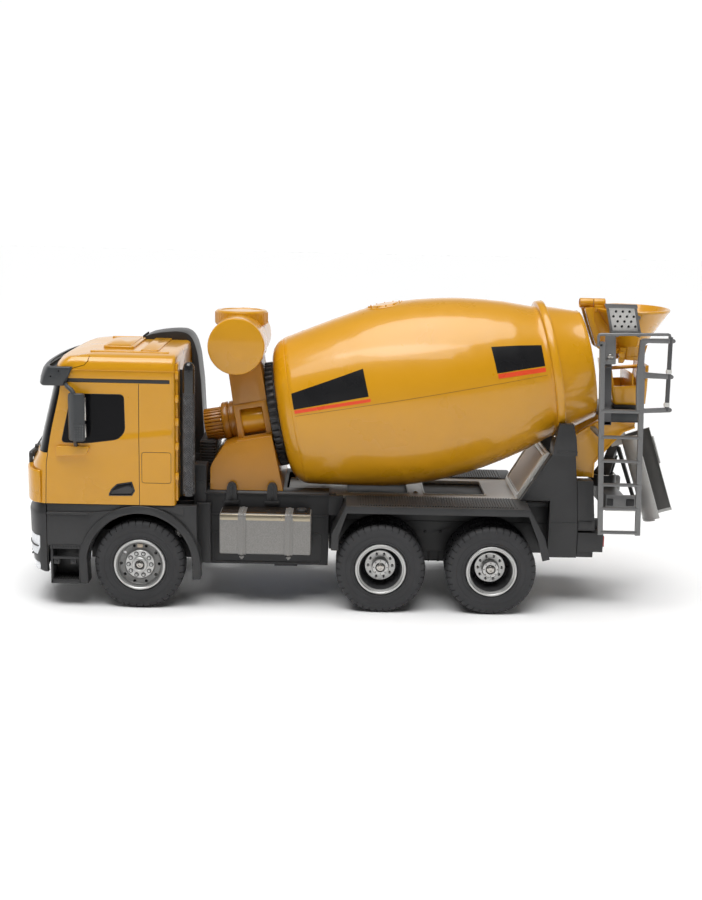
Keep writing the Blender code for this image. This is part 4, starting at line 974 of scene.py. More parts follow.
def sun_visor():
    """Band round the top of the windscreen, on a brim, with screw holes near its ends."""
    hole_spots = ((-0.233, 0.1822), (-0.2268, 0.1862))
    rows = []
    for z, nose, half, side_x in ((0.1748, -0.2462, 0.0755, -0.2385), (0.176, -0.2475, 0.0766, -0.2388),
                                  (0.1805, -0.2478, 0.0768, -0.237), (0.1862, -0.2462, 0.0767, -0.2345),
                                  (0.1888, -0.244, 0.0762, -0.233), (0.1894, -0.2425, 0.0752, -0.2325)):
        end_x = -0.2243 + (z - 0.1748) * 0.42
        rows.append((z, [(end_x, -half), *nose_points(nose, half, side_x, 32, power=2.3), (end_x, half)]))
    count = len(rows[0][1])
    outer = [(x, y, z) for z, row in rows for x, y in row]
    inner = [(x + 0.0016, y * 0.983, z) for z, row in rows[::-1] for x, y in row]
    points, levels = outer + inner, 2 * len(rows)
    faces = [
        (r * count + i, r * count + i + 1, (r + 1) % levels * count + i + 1, (r + 1) % levels * count + i)
        for r in range(levels) for i in range(count - 1)
    ]
    faces.append(tuple(r * count for r in range(levels)))
    faces.append(tuple(r * count + count - 1 for r in range(levels))[::-1])
    holes = both([rod((x, 0.07, z), (x, 0.08, z), 0.0007, 14) for x, z in hole_spots])
    piece("visor_band", [(points, faces)], "dark_grey", stands_for=["sun_visor"], cuts=[holes], bevel=0.0003,
          angle=40)
    plugs = both([rod((x, 0.07, z), (x, 0.0752, z), 0.0009, 14) for x, z in hole_spots])
    piece("visor_hole_floors", plugs, "gloss_black")
    rim = [(-0.223, -0.0745), *nose_points(-0.244, 0.0748, -0.234, 32, power=2.3), (-0.223, 0.0745)]
    rim += [(-0.2225, 0.0715), *nose_points(-0.2355, 0.0715, -0.229, 32, power=2.3)[::-1], (-0.2225, -0.0715)]
    piece("visor_brim", [prism(rim, "xy", 0.1838, 0.1852)], "dark_grey", bevel=0.0003)


def mirrors():
    """Mirror housings with a field of dots, their arms and glasses."""
    for name, side in SIDES:
        section = [(-0.2198, 0.0795), (-0.2188, 0.0812), (-0.2146, 0.0846), (-0.2136, 0.0849),
                   (-0.208, 0.0846), (-0.2066, 0.0836), (-0.2064, 0.0812), (-0.207, 0.079)]
        housing = loft([[(-0.213 + (x + 0.213) * share, 0.0818 + (y - 0.0818) * share, z) for x, y in section]
                        for z, share in ((0.1338, 0.8), (0.1344, 0.95), (0.136, 1.0), (0.15, 1.0),
                                         (0.166, 1.0), (0.1688, 0.97), (0.1698, 0.9), (0.1702, 0.78))])
        cuts, dots = [], []
        for row in range(6):
            for column in range(4):
                x, z = -0.2143 + column * 0.0019 + row * 0.00012, 0.1358 + row * 0.002
                cuts.append(rod((x, 0.084, z), (x, 0.086, z), 0.00046, 10))
                dots.append(rod((x, 0.0836, z), (x, 0.0845, z), 0.0005, 10))
        piece(f"mirror_housing_{name}", on_side(side, [housing]), "dark_grey", stands_for=[f"mirror_{name}"],
              cuts=[on_side(side, cuts)], bevel=0.0003, angle=25)
        lip = ribbon([(-0.2152, 0.148), (-0.2073, 0.1472)], 0.0006)
        arms = [
            pipe([(-0.215, 0.073, 0.129), (-0.215, 0.0775, 0.1298), (-0.2148, 0.081, 0.1345)], 0.0013, 12),
            pipe([(-0.2225, 0.0735, 0.1765), (-0.2205, 0.079, 0.1752), (-0.2165, 0.0812, 0.1725),
                  (-0.215, 0.0815, 0.1695)], [0.0014, 0.0015, 0.0017, 0.002], 12),
            prism(lip, "xz", 0.084, 0.085),
        ]
        piece(f"mirror_arms_{name}", on_side(side, arms), "dark_grey", angle=40)
        piece(f"mirror_dots_{name}", on_side(side, dots), "grey")
        glass = [block((-0.207, 0.08, 0.15), (-0.2058, 0.083, 0.167)),
                 block((-0.207, 0.08, 0.137), (-0.2058, 0.083, 0.147))]
        piece(f"mirror_glass_{name}", on_side(side, glass), "steel", bevel=0.0002)


def front_bumper():
    """Black lower front: a loft with a ridge under the cab, tucked in towards the ground."""
    levels = [  # z, nose x, half width
        (0.027, -0.251, 0.069), (0.0285, -0.256, 0.0712), (0.033, -0.258, 0.0722), (0.04, -0.259, 0.0728),
        (0.056, -0.26, 0.073), (0.07, -0.2604, 0.0733), (0.074, -0.2606, 0.0735), (0.0758, -0.26, 0.0733),
        (0.0775, -0.2585, 0.0722), (0.0824, -0.258, 0.0718),
    ]
    rows = []
    for z, nose, half in levels:
        outer = [(-0.2397, -half), *nose_points(nose, half, -0.241, 36), (-0.2397, half)]
        inner = [(-0.2397, half - 0.006), *nose_points(nose + 0.006, half - 0.006, -0.24, 36)[::-1],
                 (-0.2397, -half + 0.006)]
        rows.append([(x, y, z) for x, y in outer + inner])
    pocket = [(-0.27, 0.0405), (-0.248, 0.0405), (-0.245, 0.048), (-0.245, 0.0572), (-0.27, 0.0572)]
    fog = rounded([(-0.27, 0.0288), (-0.248, 0.0288), (-0.2452, 0.032), (-0.246, 0.0352), (-0.27, 0.0352)],
                  0.0008)
    cuts = [
        both([prism(pocket, "xz", 0.0465, 0.09)]), both([prism(fog, "xz", 0.054, 0.09)]),
        block((-0.27, -0.033, 0.062), (-0.257, 0.033, 0.07)),
        block((-0.27, -0.033, 0.048), (-0.257, 0.033, 0.056)),
        block((-0.27, -0.041, 0.031), (-0.255, 0.041, 0.04)),
    ]
    piece("bumper_body", [loft(rows)], "black", stands_for=["bumper"], cuts=cuts, bevel=0.0004, angle=38)
    slats = []
    for z0, z1, half in ((0.062, 0.07, 0.033), (0.048, 0.056, 0.033), (0.031, 0.04, 0.041)):
        slats.append(block((-0.2568, -half, z0), (-0.256, half, z1)))
        for i in range(1, 3):
            z = z0 + (z1 - z0) * i / 3
            slats.append(block((-0.259, -half, z - 0.0006), (-0.2562, half, z + 0.0006)))
    piece("bumper_slats", slats, "black", bevel=0.0002)
    for name, side in SIDES:
        ribs = nose_points(-0.2598, 0.0727, -0.2412, 44, 0.66, 0.998)
        outer = [(x + (0.00025 if i % 2 else 0.0), y) for i, (x, y) in enumerate(ribs)]
        inner = nose_points(-0.2552, 0.0682, -0.242, 20, 0.66, 0.99)
        lens = [prism(outer + inner[::-1], "xy", 0.0412, 0.0566)]
        piece(f"headlamp_lens_{name}", on_side(side, lens), "lens", stands_for=[f"headlamp_{name}"],
              cuts=[on_side(side, [prism([(-0.244, 0.03), (-0.238, 0.03), (-0.238, 0.06), (-0.2452, 0.06),
                                          (-0.2452, 0.0475), (-0.2482, 0.04)], "xz", 0.04, 0.08)])], angle=20)
        bezel = prism(ribbon(nose_points(-0.2602, 0.0731, -0.2411, 20, 0.66, 0.97), 0.001),
                      "xy", 0.0478, 0.0486)
        piece(f"headlamp_bar_{name}", on_side(side, [bezel]), "black")
        fog_lens = nose_points(-0.258, 0.0714, -0.242, 16, 0.8, 0.985)
        fog_back = nose_points(-0.254, 0.069, -0.2425, 16, 0.8, 0.97)
        piece(f"fog_lamp_{name}", on_side(side, [prism(fog_lens + fog_back[::-1], "xy", 0.0292, 0.0348)]),
              "lens", bevel=0.0005)


def skirts():
    """Black lower sides of the cab with the wheel arches and the steps up to the doors."""
    middle, arch = (FRONT_AXLE_X, TYRE_R), 0.0408
    well_wall = [(-0.213, 0.0285), (-0.19, 0.0285), (-0.19, 0.056), (-0.14, 0.056), (-0.14, 0.03),
                 (-0.1225, 0.03), (-0.1225, 0.077), (-0.213, 0.077)]
    liner = [(-0.2088, 0.035)] + arc(middle, arch, 178, 2, 24) + [(-0.1272, 0.035)]
    flare_path = [(-0.2108, 0.0192), (-0.2112, 0.03), (-0.2118, 0.042)] + arc(middle, 0.0442, 166, 2, 30)
    flare_path += [(-0.1238, 0.033), (-0.1238, 0.024)]
    for name, side in SIDES:
        panel = [(-0.2393, 0.05), (-0.2125, 0.05)] + arc(middle, 0.045, 160, 8, 22)
        panel += [(-0.124, 0.0826), (-0.2393, 0.0826)]
        proud = [(-0.2393, 0.0495), (-0.2132, 0.0495)] + arc(middle, 0.0466, 162, 112, 12)
        proud += [(-0.205, 0.0762), (-0.2393, 0.0762)]
        shapes = [prism(panel, "xz", 0.066, 0.0718), prism(proud, "xz", 0.07, 0.0734)]
        shapes += [prism([(-0.183, 0.0818), (-0.1335, 0.0818), (-0.1335, 0.0745), (-0.15, 0.079)], "xz",
                         0.068, 0.0724)]
        shapes.append(block((-0.2393, 0.0722, 0.0742), (-0.2078, 0.0741, 0.076)))
        shapes.append(block((-0.126, 0.048, 0.031), (-0.115, 0.05, 0.08)))
        piece(f"skirt_panel_{name}", on_side(side, shapes), "black", stands_for=[f"cab_skirt_{name}"],
              bevel=0.0008, segments=3)
        flare = prism(ribbon(flare_path, 0.0062), "xz", 0.06, 0.0744)
        inner = prism(ribbon(liner, 0.0016), "xz", 0.0602, 0.067)
        piece(f"wheel_arch_{name}", on_side(side, [flare, inner]), "black", bevel=0.001, segments=3, angle=45)
        wide_liner = [(-0.2136, 0.035)] + arc(middle, 0.0456, 178, 2, 24) + [(-0.1224, 0.035)]
        well = [prism(ribbon(wide_liner, 0.0014), "xz", 0.03, 0.0606), prism(well_wall, "xz", 0.0296, 0.031)]
        piece(f"wheel_well_{name}", on_side(side, well), "rail_black", bevel=0.0003)

        steps = [block((-0.2374, 0.056, 0.0468), (-0.2128, 0.0732, 0.0496))]
        steps += [block((-0.237, 0.054, 0.0186), (-0.2128, 0.0726, 0.0216))]
        steps += [block((-0.237, 0.0545, 0.019), (-0.2352, 0.0726, 0.048))]
        steps += [block((-0.2152, 0.0545, 0.019), (-0.2128, 0.0726, 0.048))]
        steps += [block((-0.2366, 0.0545, 0.02), (-0.2134, 0.0558, 0.049))]
        steps += [block((-0.2366, 0.07, 0.0385), (-0.213, 0.0728, 0.0405))]
        piece(f"step_box_{name}", on_side(side, steps), "black", bevel=0.0004)
        treads = []
        for z, y0, y1 in ((0.0494, 0.058, 0.0736), (0.0214, 0.056, 0.073)):
            for i in range(13):
                x = -0.2366 + i * 0.00192
                treads.append(block((x, y0, z), (x + 0.001, y1, z + 0.001)))
        for i in range(12):
            x = -0.2364 + i * 0.00205
            treads.append(block((x, 0.0728, 0.047), (x + 0.001, 0.0738, 0.0502)))
        piece(f"step_treads_{name}", on_side(side, treads), "black")
        hangers = []
        for x in (-0.2325, -0.2196):
            hangers += [block((x - 0.0022, 0.069, 0.0342), (x + 0.0022, 0.0722, 0.0392)),
                        rod((x, 0.07, 0.0362), (x, 0.0731, 0.0362), 0.001, 10)]
        piece(f"step_hangers_{name}", on_side(side, hangers), "black", bevel=0.0005)


def behind_cab():
    """Intake duct, black plates that paint the shade in the gaps behind the cab, and the wrapped snorkel
    pipe.
    """
    duct = [(-0.1822, 0.197), (-0.1795, 0.2008), (-0.1735, 0.2032), (-0.164, 0.205), (-0.153, 0.206),
            (-0.1465, 0.2056), (-0.142, 0.2036), (-0.139, 0.2), (-0.1368, 0.195), (-0.1345, 0.186),
            (-0.1318, 0.164), (-0.13, 0.13), (-0.1282, 0.106), (-0.123, 0.1), (-0.1393, 0.1), (-0.1395, 0.19),
            (-0.142, 0.196), (-0.147, 0.1974)]
    piece("duct_body", [prism(rounded(duct, 0.002, 3), "xz", 0.035, 0.067)], "black",
          stands_for=["intake_duct"], bevel=0.0016, segments=3, angle=40)
    mesh = [block((-0.1806, 0.0375 + i * 0.0034, 0.2), (-0.1796, 0.0387 + i * 0.0034, 0.2018))
            for i in range(9)]
    piece("duct_ribs", mesh, "black")
    # Black plates in the gaps beside the snorkel and behind the cab: painted shade.
    shade_plates = [block((-0.1402, -0.0535, 0.0862), (-0.1285, -0.052, 0.186)),
               block((-0.1402, -0.002, 0.086), (-0.1215, 0.0, 0.11))]
    piece("cab_rear_shade_plates", shade_plates, "rail_black", bevel=0.0003)

    base = Matrix.Translation((SNORKEL_X, SNORKEL_Y, 0.0))
    pipe_profile = [(0.0, 0.0905), (0.004, 0.0905), (0.0044, 0.0912), (0.0044, 0.169), (0.0046, 0.17),
                    (0.0046, 0.188), (0.0043, 0.1905), (0.0034, 0.1926), (0.0018, 0.1938), (0.0, 0.1941)]
    piece("snorkel_pipe", [lathe(pipe_profile, 40, base)], "gloss_black", stands_for=["snorkel"])
    wraps = []
    turns, pitch, strands, steps = 3.0, 0.026, 14, 48
    for hand in (1, -1):
        for strand in range(strands):
            path = []
            for i in range(steps + 1):
                t = i / steps
                a = hand * 2 * pi * turns * t + 2 * pi * strand / strands
                x, y = SNORKEL_X + SNORKEL_R * cos(a), SNORKEL_Y + SNORKEL_R * sin(a)
                path.append((x, y, 0.0925 + pitch * turns * t))
            wraps.append(pipe(path, 0.00042, 5))
    piece("snorkel_wrap", wraps, "grey_dark", angle=60)


# Chassis cover, tanks, pedestal and mixer drive.
TANK_X, TANK_Z, FILLER_X = -0.096, 0.204, -0.0955
SNORKEL_X, SNORKEL_Y, SNORKEL_R = -0.1299, -0.0697, 0.0044
DECK_RECESSES = ((-0.008, 0.042), (0.0545, 0.1045))


def along(u, v=0.0):
    """(x, z) of a point u along the drum's axis from the seam and v above it, square to the axis."""
    return (SEAM.x + u * cos(TILT) - v * sin(TILT), SEAM.z + u * sin(TILT) + v * cos(TILT))


def chassis_cover():
    """Cover over the electronics, the step behind the cab and the pedestal's clamps."""
    y, low, ledge, top = 0.0475, 0.0302, 0.0704, 0.0893
    half = [(y, low), (y, ledge - 0.0006), (y - 0.001, ledge), (y - 0.001, top - 0.0025), (y - 0.003, top)]
    section = half + [(-a, b) for a, b in half[::-1]]
    inner = [(a * 0.955, b - 0.0019 if b > 0.05 else b - 0.01) for a, b in section]
    cuts = [prism(inner, "yz", -0.1186, -0.0238), block((-0.056, -0.0293, 0.082), (0.0, 0.0293, 0.1))]
    piece("chassis_cover_body", [prism(section, "yz", -0.1205, -0.022)], "rail_black",
          stands_for=["chassis_cover"], cuts=cuts, bevel=0.0004)
    panel = rounded(rectangle((-0.1135, -0.027), (0.032, 0.0565)), 0.004, 5)
    trims = [band(panel, 0.0012, "xz", y - 0.0006, y + 0.0005)]
    trims += [prism(rectangle((-0.1205, -0.0225), (ledge - 0.0006, ledge + 0.0006)),
                    "xz", y - 0.0015, y + 0.0004)]
    trims += [prism([(-0.023, 0.0712), (-0.0125, 0.0712), (-0.0105, 0.0868), (-0.023, 0.0868)],
                    "xz", 0.042, 0.0464)]
    trims += [prism(rounded(rectangle((-0.0646, -0.0463), (0.029, 0.0306)), 0.0005), "xz", 0.044, 0.0474)]
    trims += [block((-0.1285, 0.03, 0.0708), (-0.1188, 0.0474, 0.1098)),
              block((-0.128, 0.031, 0.096), (-0.1192, 0.048, 0.0976))]
    trims += [block((-0.1205, 0.044, 0.0868), (-0.0215, 0.0476, 0.088))]
    piece("chassis_cover_trim", both(trims), "rail_black", bevel=0.0005)
    floor = block((-0.119, -0.046, 0.0304), (-0.0945, 0.046, 0.0322))
    piece("chassis_cover_floor", [floor], "rail_black",
          cuts=[block((-0.112, -0.0045, 0.02), (-0.107, 0.0045, 0.05))], bevel=0.0003)
    fins = [block((-0.126, -0.018, 0.0895), (-0.116, 0.033, 0.124))]
    for i in range(14):
        z = 0.091 + i * 0.0024
        fins.append(block((-0.1272, -0.0195, z), (-0.114, 0.0342, z + 0.0011)))
    piece("cab_rear_step", fins, "black", bevel=0.0002)

    clamp = [(-0.005, 0.0808), (-0.0042, 0.0865), (-0.0038, 0.093)] + arc((0.0, 0.093), 0.0036, 170, 10, 8)
    clamp += [(0.0038, 0.093), (0.0042, 0.0865), (0.005, 0.0808)]
    shapes = []
    for x in (-0.0989, -0.0669):
        shapes.append(prism([(x + a, b) for a, b in clamp], "xz", 0.0436, 0.0482))
        shapes.append(block((x - 0.006, 0.045, 0.0795), (x + 0.006, 0.0486, 0.0822)))
        shapes.append(block((x - 0.0012, 0.047, 0.083), (x + 0.0012, 0.049, 0.0925)))
        shapes.append(rod((x, 0.047, 0.0935), (x, 0.049, 0.0935), 0.0013, 12))
    piece("pedestal_clamps", both(shapes), "black", bevel=0.0004)


def fuel_tanks():
    """Tank with edge, lid, two straps and a cap on each side."""
    x0, x1, z0, z1 = -0.1063, -0.0353, 0.0445, 0.077
    for name, side in SIDES:
        outline = rounded([(0.048, z0), (0.0712, z0), (0.0712, z1), (0.048, z1)], 0.0028, 5)
        shell = prism(outline, "yz", x0, x1)
        piece(f"fuel_tank_body_{name}", on_side(side, [shell]), "tank", stands_for=[f"fuel_tank_{name}"],
              bevel=0.0011, segments=3, angle=50)
        edge = [(0.0712 - 0.0028, z1 + 0.00015), (0.0706, z1 - 0.0006), (0.07135, z1 - 0.0022),
                (0.07135, z1 - 0.005), (0.07, z1 - 0.005), (0.069, z1 - 0.001)]
        lid = [(0.0482, z1 - 0.002), (0.069, z1 - 0.001), (0.0688, z1 + 0.00045), (0.0482, z1 + 0.00045)]
        piece(f"fuel_tank_edge_{name}", on_side(side, [prism(edge, "yz", x0 + 0.0006, x1 - 0.0006)]),
              "tank_top", bevel=0.0002)
        piece(f"fuel_tank_lid_{name}", on_side(side, [prism(lid, "yz", x0 + 0.001, x1 - 0.001)]), "tank_dark",
              bevel=0.0002)
        straps = []
        for x in (-0.0889, -0.0525):
            for a, b in ((x - 0.0031, x + 0.0031), (x - 0.0012, x + 0.0012)):
                grow = 0.0006 if b - a > 0.004 else 0.0011
                path = rounded([(0.0484, z0 - grow), (0.0712 + grow, z0 - grow), (0.0712 + grow, z1 + grow),
                                (0.0484, z1 + grow)], 0.0034, 6)
                straps.append(prism(path, "yz", a, b))
            for z in (z1 + 0.0014, z0 - 0.0024):
                straps.append(rod((x, 0.07, z - 0.0014), (x, 0.07, z + 0.0014), 0.001, 10))
                foot = min(z, z1)
                straps.append(block((x - 0.0018, 0.068, foot), (x + 0.0018, 0.0716, foot + 0.001)))
        piece(f"fuel_tank_straps_{name}", on_side(side, straps), "tank", bevel=0.0003)
        cap = axis_place((-0.043, side * 0.06, z1), (0, 0, 1))
        piece(f"fuel_cap_{name}", [lathe([(0.0, -0.001), (0.0042, -0.001), (0.0042, 0.0018), (0.0038, 0.0024),
                                          (0.0, 0.0026)], 32, cap)], "black")


def pedestal():
    """Cast stand of the drum, its clamp frames and the mixer motor."""
    foot = [(-0.116, 0.0896), (-0.0586, 0.0896), along(-0.02, -0.0105), along(-0.048, -0.0105),
            (-0.1062, 0.124), (-0.1143, 0.1115), (-0.116, 0.107)]
    arm = [along(-0.0478, -0.0115), along(-0.02, -0.0115), along(-0.02, 0.048), along(-0.0458, 0.048)]
    window = [along(-0.0425, -0.01), along(-0.0248, -0.01), along(-0.0248, 0.013), along(-0.0425, 0.013)]
    cuts = [
        lathe([(0.0, -0.07), (0.0224, -0.07), (0.0224, 0.07), (0.0, 0.07)], 64,
              axis_place((TANK_X, 0.0, TANK_Z), (0, 1, 0))),
        lathe([(0.0, -0.05), (0.0066, -0.05), (0.0066, -0.01), (0.0, -0.01)], 32, DRUM_PLACE),
        both([prism(rounded(window, 0.0008, 3), "xz", 0.02, 0.04)]),
        lathe([(0.0, -0.09), (0.0168, -0.09), (0.0168, -0.0476), (0.0, -0.0476)], 48, DRUM_PLACE),
    ]
    # The stand, its clamp frames and the motor take the darker yellow: painted shade.
    piece("pedestal_body", [prism(foot, "xz", -0.044, 0.044)], "yellow_brown", stands_for=["drum_pedestal"],
          joins=[prism(arm, "xz", -0.03, 0.03)], cuts=cuts, bevel=0.0009, segments=3, angle=30)
    frames = [band([along(-0.045, -0.0115), along(-0.0224, -0.0115), along(-0.0224, 0.015),
                    along(-0.045, 0.015)], 0.0046, "xz", 0.029, 0.031)]
    frames += [prism([along(-0.048, -0.015), along(-0.02, -0.015), along(-0.02, -0.0098),
                      along(-0.048, -0.0098)], "xz", 0.028, 0.042)]
    piece("pedestal_clamp_frames", both(frames), "yellow_brown", bevel=0.0007, segments=3)
    drums = []
    for side in (-1, 1):
        x, z = along(-0.0427, 0.0015)
        way = Vector((cos(TILT), 0, sin(TILT)))
        place = axis_place((x, side * 0.018, z), way)
        drums.append(lathe([(0.0, 0.0), (0.0108, 0.0), (0.0108, 0.0178), (0.0, 0.0178)], 48, place))
    piece("pedestal_inner_drums", drums, "yellow", bevel=0.0003)

    collar = [(0.0, -0.06), (0.0128, -0.06), (0.0158, -0.0596), (0.0163, -0.0588), (0.0163, -0.0545),
              (0.015, -0.0542), (0.015, -0.0532), (0.0163, -0.0529), (0.0163, -0.0482), (0.0, -0.0482)]
    steps = 27
    fins = []
    for i in range(steps):
        for share, radius in ((0.0, 0.0118), (0.22, 0.0118), (0.3, 0.0132), (0.92, 0.0132)):
            a = 2 * pi * (i + share) / steps
            fins.append((radius * cos(a), radius * sin(a)))
    shapes = [lathe(collar, 56, DRUM_PLACE), moved(prism(fins, "xy", -0.0745, -0.0595), DRUM_PLACE)]
    cap = [(0.0, -0.075), (0.0105, -0.075), (0.0118, -0.0744), (0.0118, -0.07), (0.0, -0.07)]
    piece("motor_body", [*shapes, lathe(cap, 48, DRUM_PLACE)], "yellow_brown", stands_for=["mixer_motor"],
          bevel=0.0002, angle=50)
    bolts = bolt_circle(DRUM_PLACE @ Matrix.Rotation(0.2, 4, "Z"), 6, 0.0146, -0.0602,
                        nut(0.0009, -0.0006, 6))
    piece("motor_bolts", bolts, "steel")


def water_tank():
    """Tank across the truck with a filler lid and two bands."""
    place = axis_place((TANK_X, 0.0, TANK_Z), (0, 1, 0))
    half = [(0.0, 0.05), (0.0206, 0.05), (0.0214, 0.0497), (0.0219, 0.049), (0.022, 0.048), (0.022, 0.0452),
            (0.0217, 0.045), (0.0217, 0.0447), (0.022, 0.0445)]
    profile = [(r, -h) for r, h in half] + half[::-1]
    filler = axis_place((FILLER_X, 0.0, 0.0), (0, 0, 1))
    neck = [(0.0, 0.205), (0.019, 0.205), (0.019, 0.2215), (0.0, 0.2215)]
    piece("tank_body", [lathe(profile, 96, place)], "yellow", stands_for=["water_tank"],
          joins=[lathe(neck, 64, filler)], angle=30)
    lid = [(0.0, 0.217), (0.0206, 0.217), (0.021, 0.2176), (0.021, 0.2262), (0.0206, 0.2274),
           (0.0196, 0.2281), (0.0168, 0.2283), (0.0164, 0.2278), (0.0, 0.2278)]
    spots = [(FILLER_X + 0.0209 * cos(a), 0.0209 * sin(a)) for a in (2 * pi * i / 48 for i in range(48))]
    grips = [rod((x, y, 0.218), (x, y, 0.2266), 0.0004, 6) for x, y in spots]
    piece("tank_filler_lid", [lathe(lid, 72, filler), *grips], "yellow")
    middle = (TANK_X, TANK_Z)
    saddle = [prism(arc(middle, 0.0226, 215, 330, 24) + arc(middle, 0.0221, 330, 215, 24),
                    "xz", 0.018, 0.024)]
    piece("tank_bands", both(saddle), "yellow", bevel=0.0002)


def deck():
    """Screws, recesses and the ramp panel of the deck under the drum."""
    level = 0.085
    piece("deck_screws", [screw(axis_place((x, y, level), (0, 0, 1)), 0.002, 0.001)
                          for x in (-0.048, 0.048) for y in (-0.02, 0.02)], "steel")
    lips = []
    for x0, x1 in DECK_RECESSES:
        lips.append(band(rounded(rectangle((x0, x1), (-0.025, 0.025)), 0.003, 4), 0.0014, "xy",
                         level - 0.0022, level + 0.0006))
    piece("deck_recess_lips", lips, "silver", bevel=0.0003)
    floors = [block((x0 + 0.0008, -0.0242, 0.0818), (x1 - 0.0008, 0.0242, 0.0826))
              for x0, x1 in DECK_RECESSES]
    piece("deck_recess_floors", floors, "rail_black", bevel=0.0002)
    slope = Vector((0.023, 0.0, 0.039)).normalized()
    out = Vector((-slope.z, 0.0, slope.x))
    base = Vector((0.1275, 0.0, level)) + out * 0.0002
    turn = Matrix(((slope.x, 0, out.x, base.x), (0, 1, 0, 0), (slope.z, 0, out.z, base.z), (0, 0, 0, 1)))
    inset = rounded(rectangle((0.005, 0.04), (-0.03, 0.03)), 0.002, 3)
    piece("ramp_panel", [moved(prism(inset, "xy", -0.0005, 0.0004), turn)], "beige", bevel=0.0002)
    frame_outline = rounded(rectangle((0.0028, 0.0422), (-0.0345, 0.0345)), 0.002, 3)
    piece("ramp_frame", [moved(band(frame_outline, 0.0022, "xy", -0.0005, 0.0008), turn)], "silver",
          bevel=0.0003)


def fenders():
    """Rear fenders with ribbed tops, and the trim on the inner panels."""
    level, thick = 0.0855, 0.0024
    top = [(-0.0196, 0.05), (-0.0193, 0.063), (-0.0085, level), (0.134, level), (0.1465, 0.0625),
           (0.1508, 0.046)]

    def thick_band(depth):
        inner = []
        for i, (x, z) in enumerate(top):
            before, after = Vector(top[max(0, i - 1)]), Vector(top[min(len(top) - 1, i + 1)])
            way = (after - before).normalized()
            inner.append((x + way.y * depth, z - way.x * depth))
        return top + inner[::-1]

    for name, side in SIDES:
        strip = [prism(thick_band(thick), "xz", 0.037, 0.0728)]
        lip = [prism(thick_band(0.0058), "xz", 0.0722, 0.074)]
        piece(f"fender_{name}", on_side(side, strip), "black", stands_for=[f"rear_fender_{name}"],
              joins=[on_side(side, lip)], bevel=0.0006, segments=3)
        ribs, rib_count, rib_pitch = [], 58, 0.00208
        for i in range(rib_count):
            x = 0.0022 + i * rib_pitch
            ribs.append(block((x, 0.0385, level - 0.0003), (x + 0.0011, 0.07, level + 0.0007)))
        rails = [block((0.0006, 0.038, level - 0.0003), (0.0012, 0.0704, level + 0.0005)),
                 block((0.1236, 0.038, level - 0.0003), (0.1244, 0.0704, level + 0.0005))]
        piece(f"fender_grip_{name}", on_side(side, ribs + rails), "black", angle=30)
        skins = [block((-0.02, 0.035, 0.0795), (0.156, 0.0372, 0.0832)),
                 block((-0.015, 0.0332, 0.064), (0.154, 0.0338, 0.0652))]
        bolts = [rod((x, 0.0334, 0.056), (x, 0.0342, 0.056), 0.0014, 12) for x in (0.056, 0.068)]
        piece(f"inner_panel_trim_{name}", on_side(side, skins + bolts), "rail_black", bevel=0.0003)


# Rear frame, hopper, collector, ladder and chute.
ROLLER_REACH, ROLLER_ANGLE = 0.0631, radians(42)


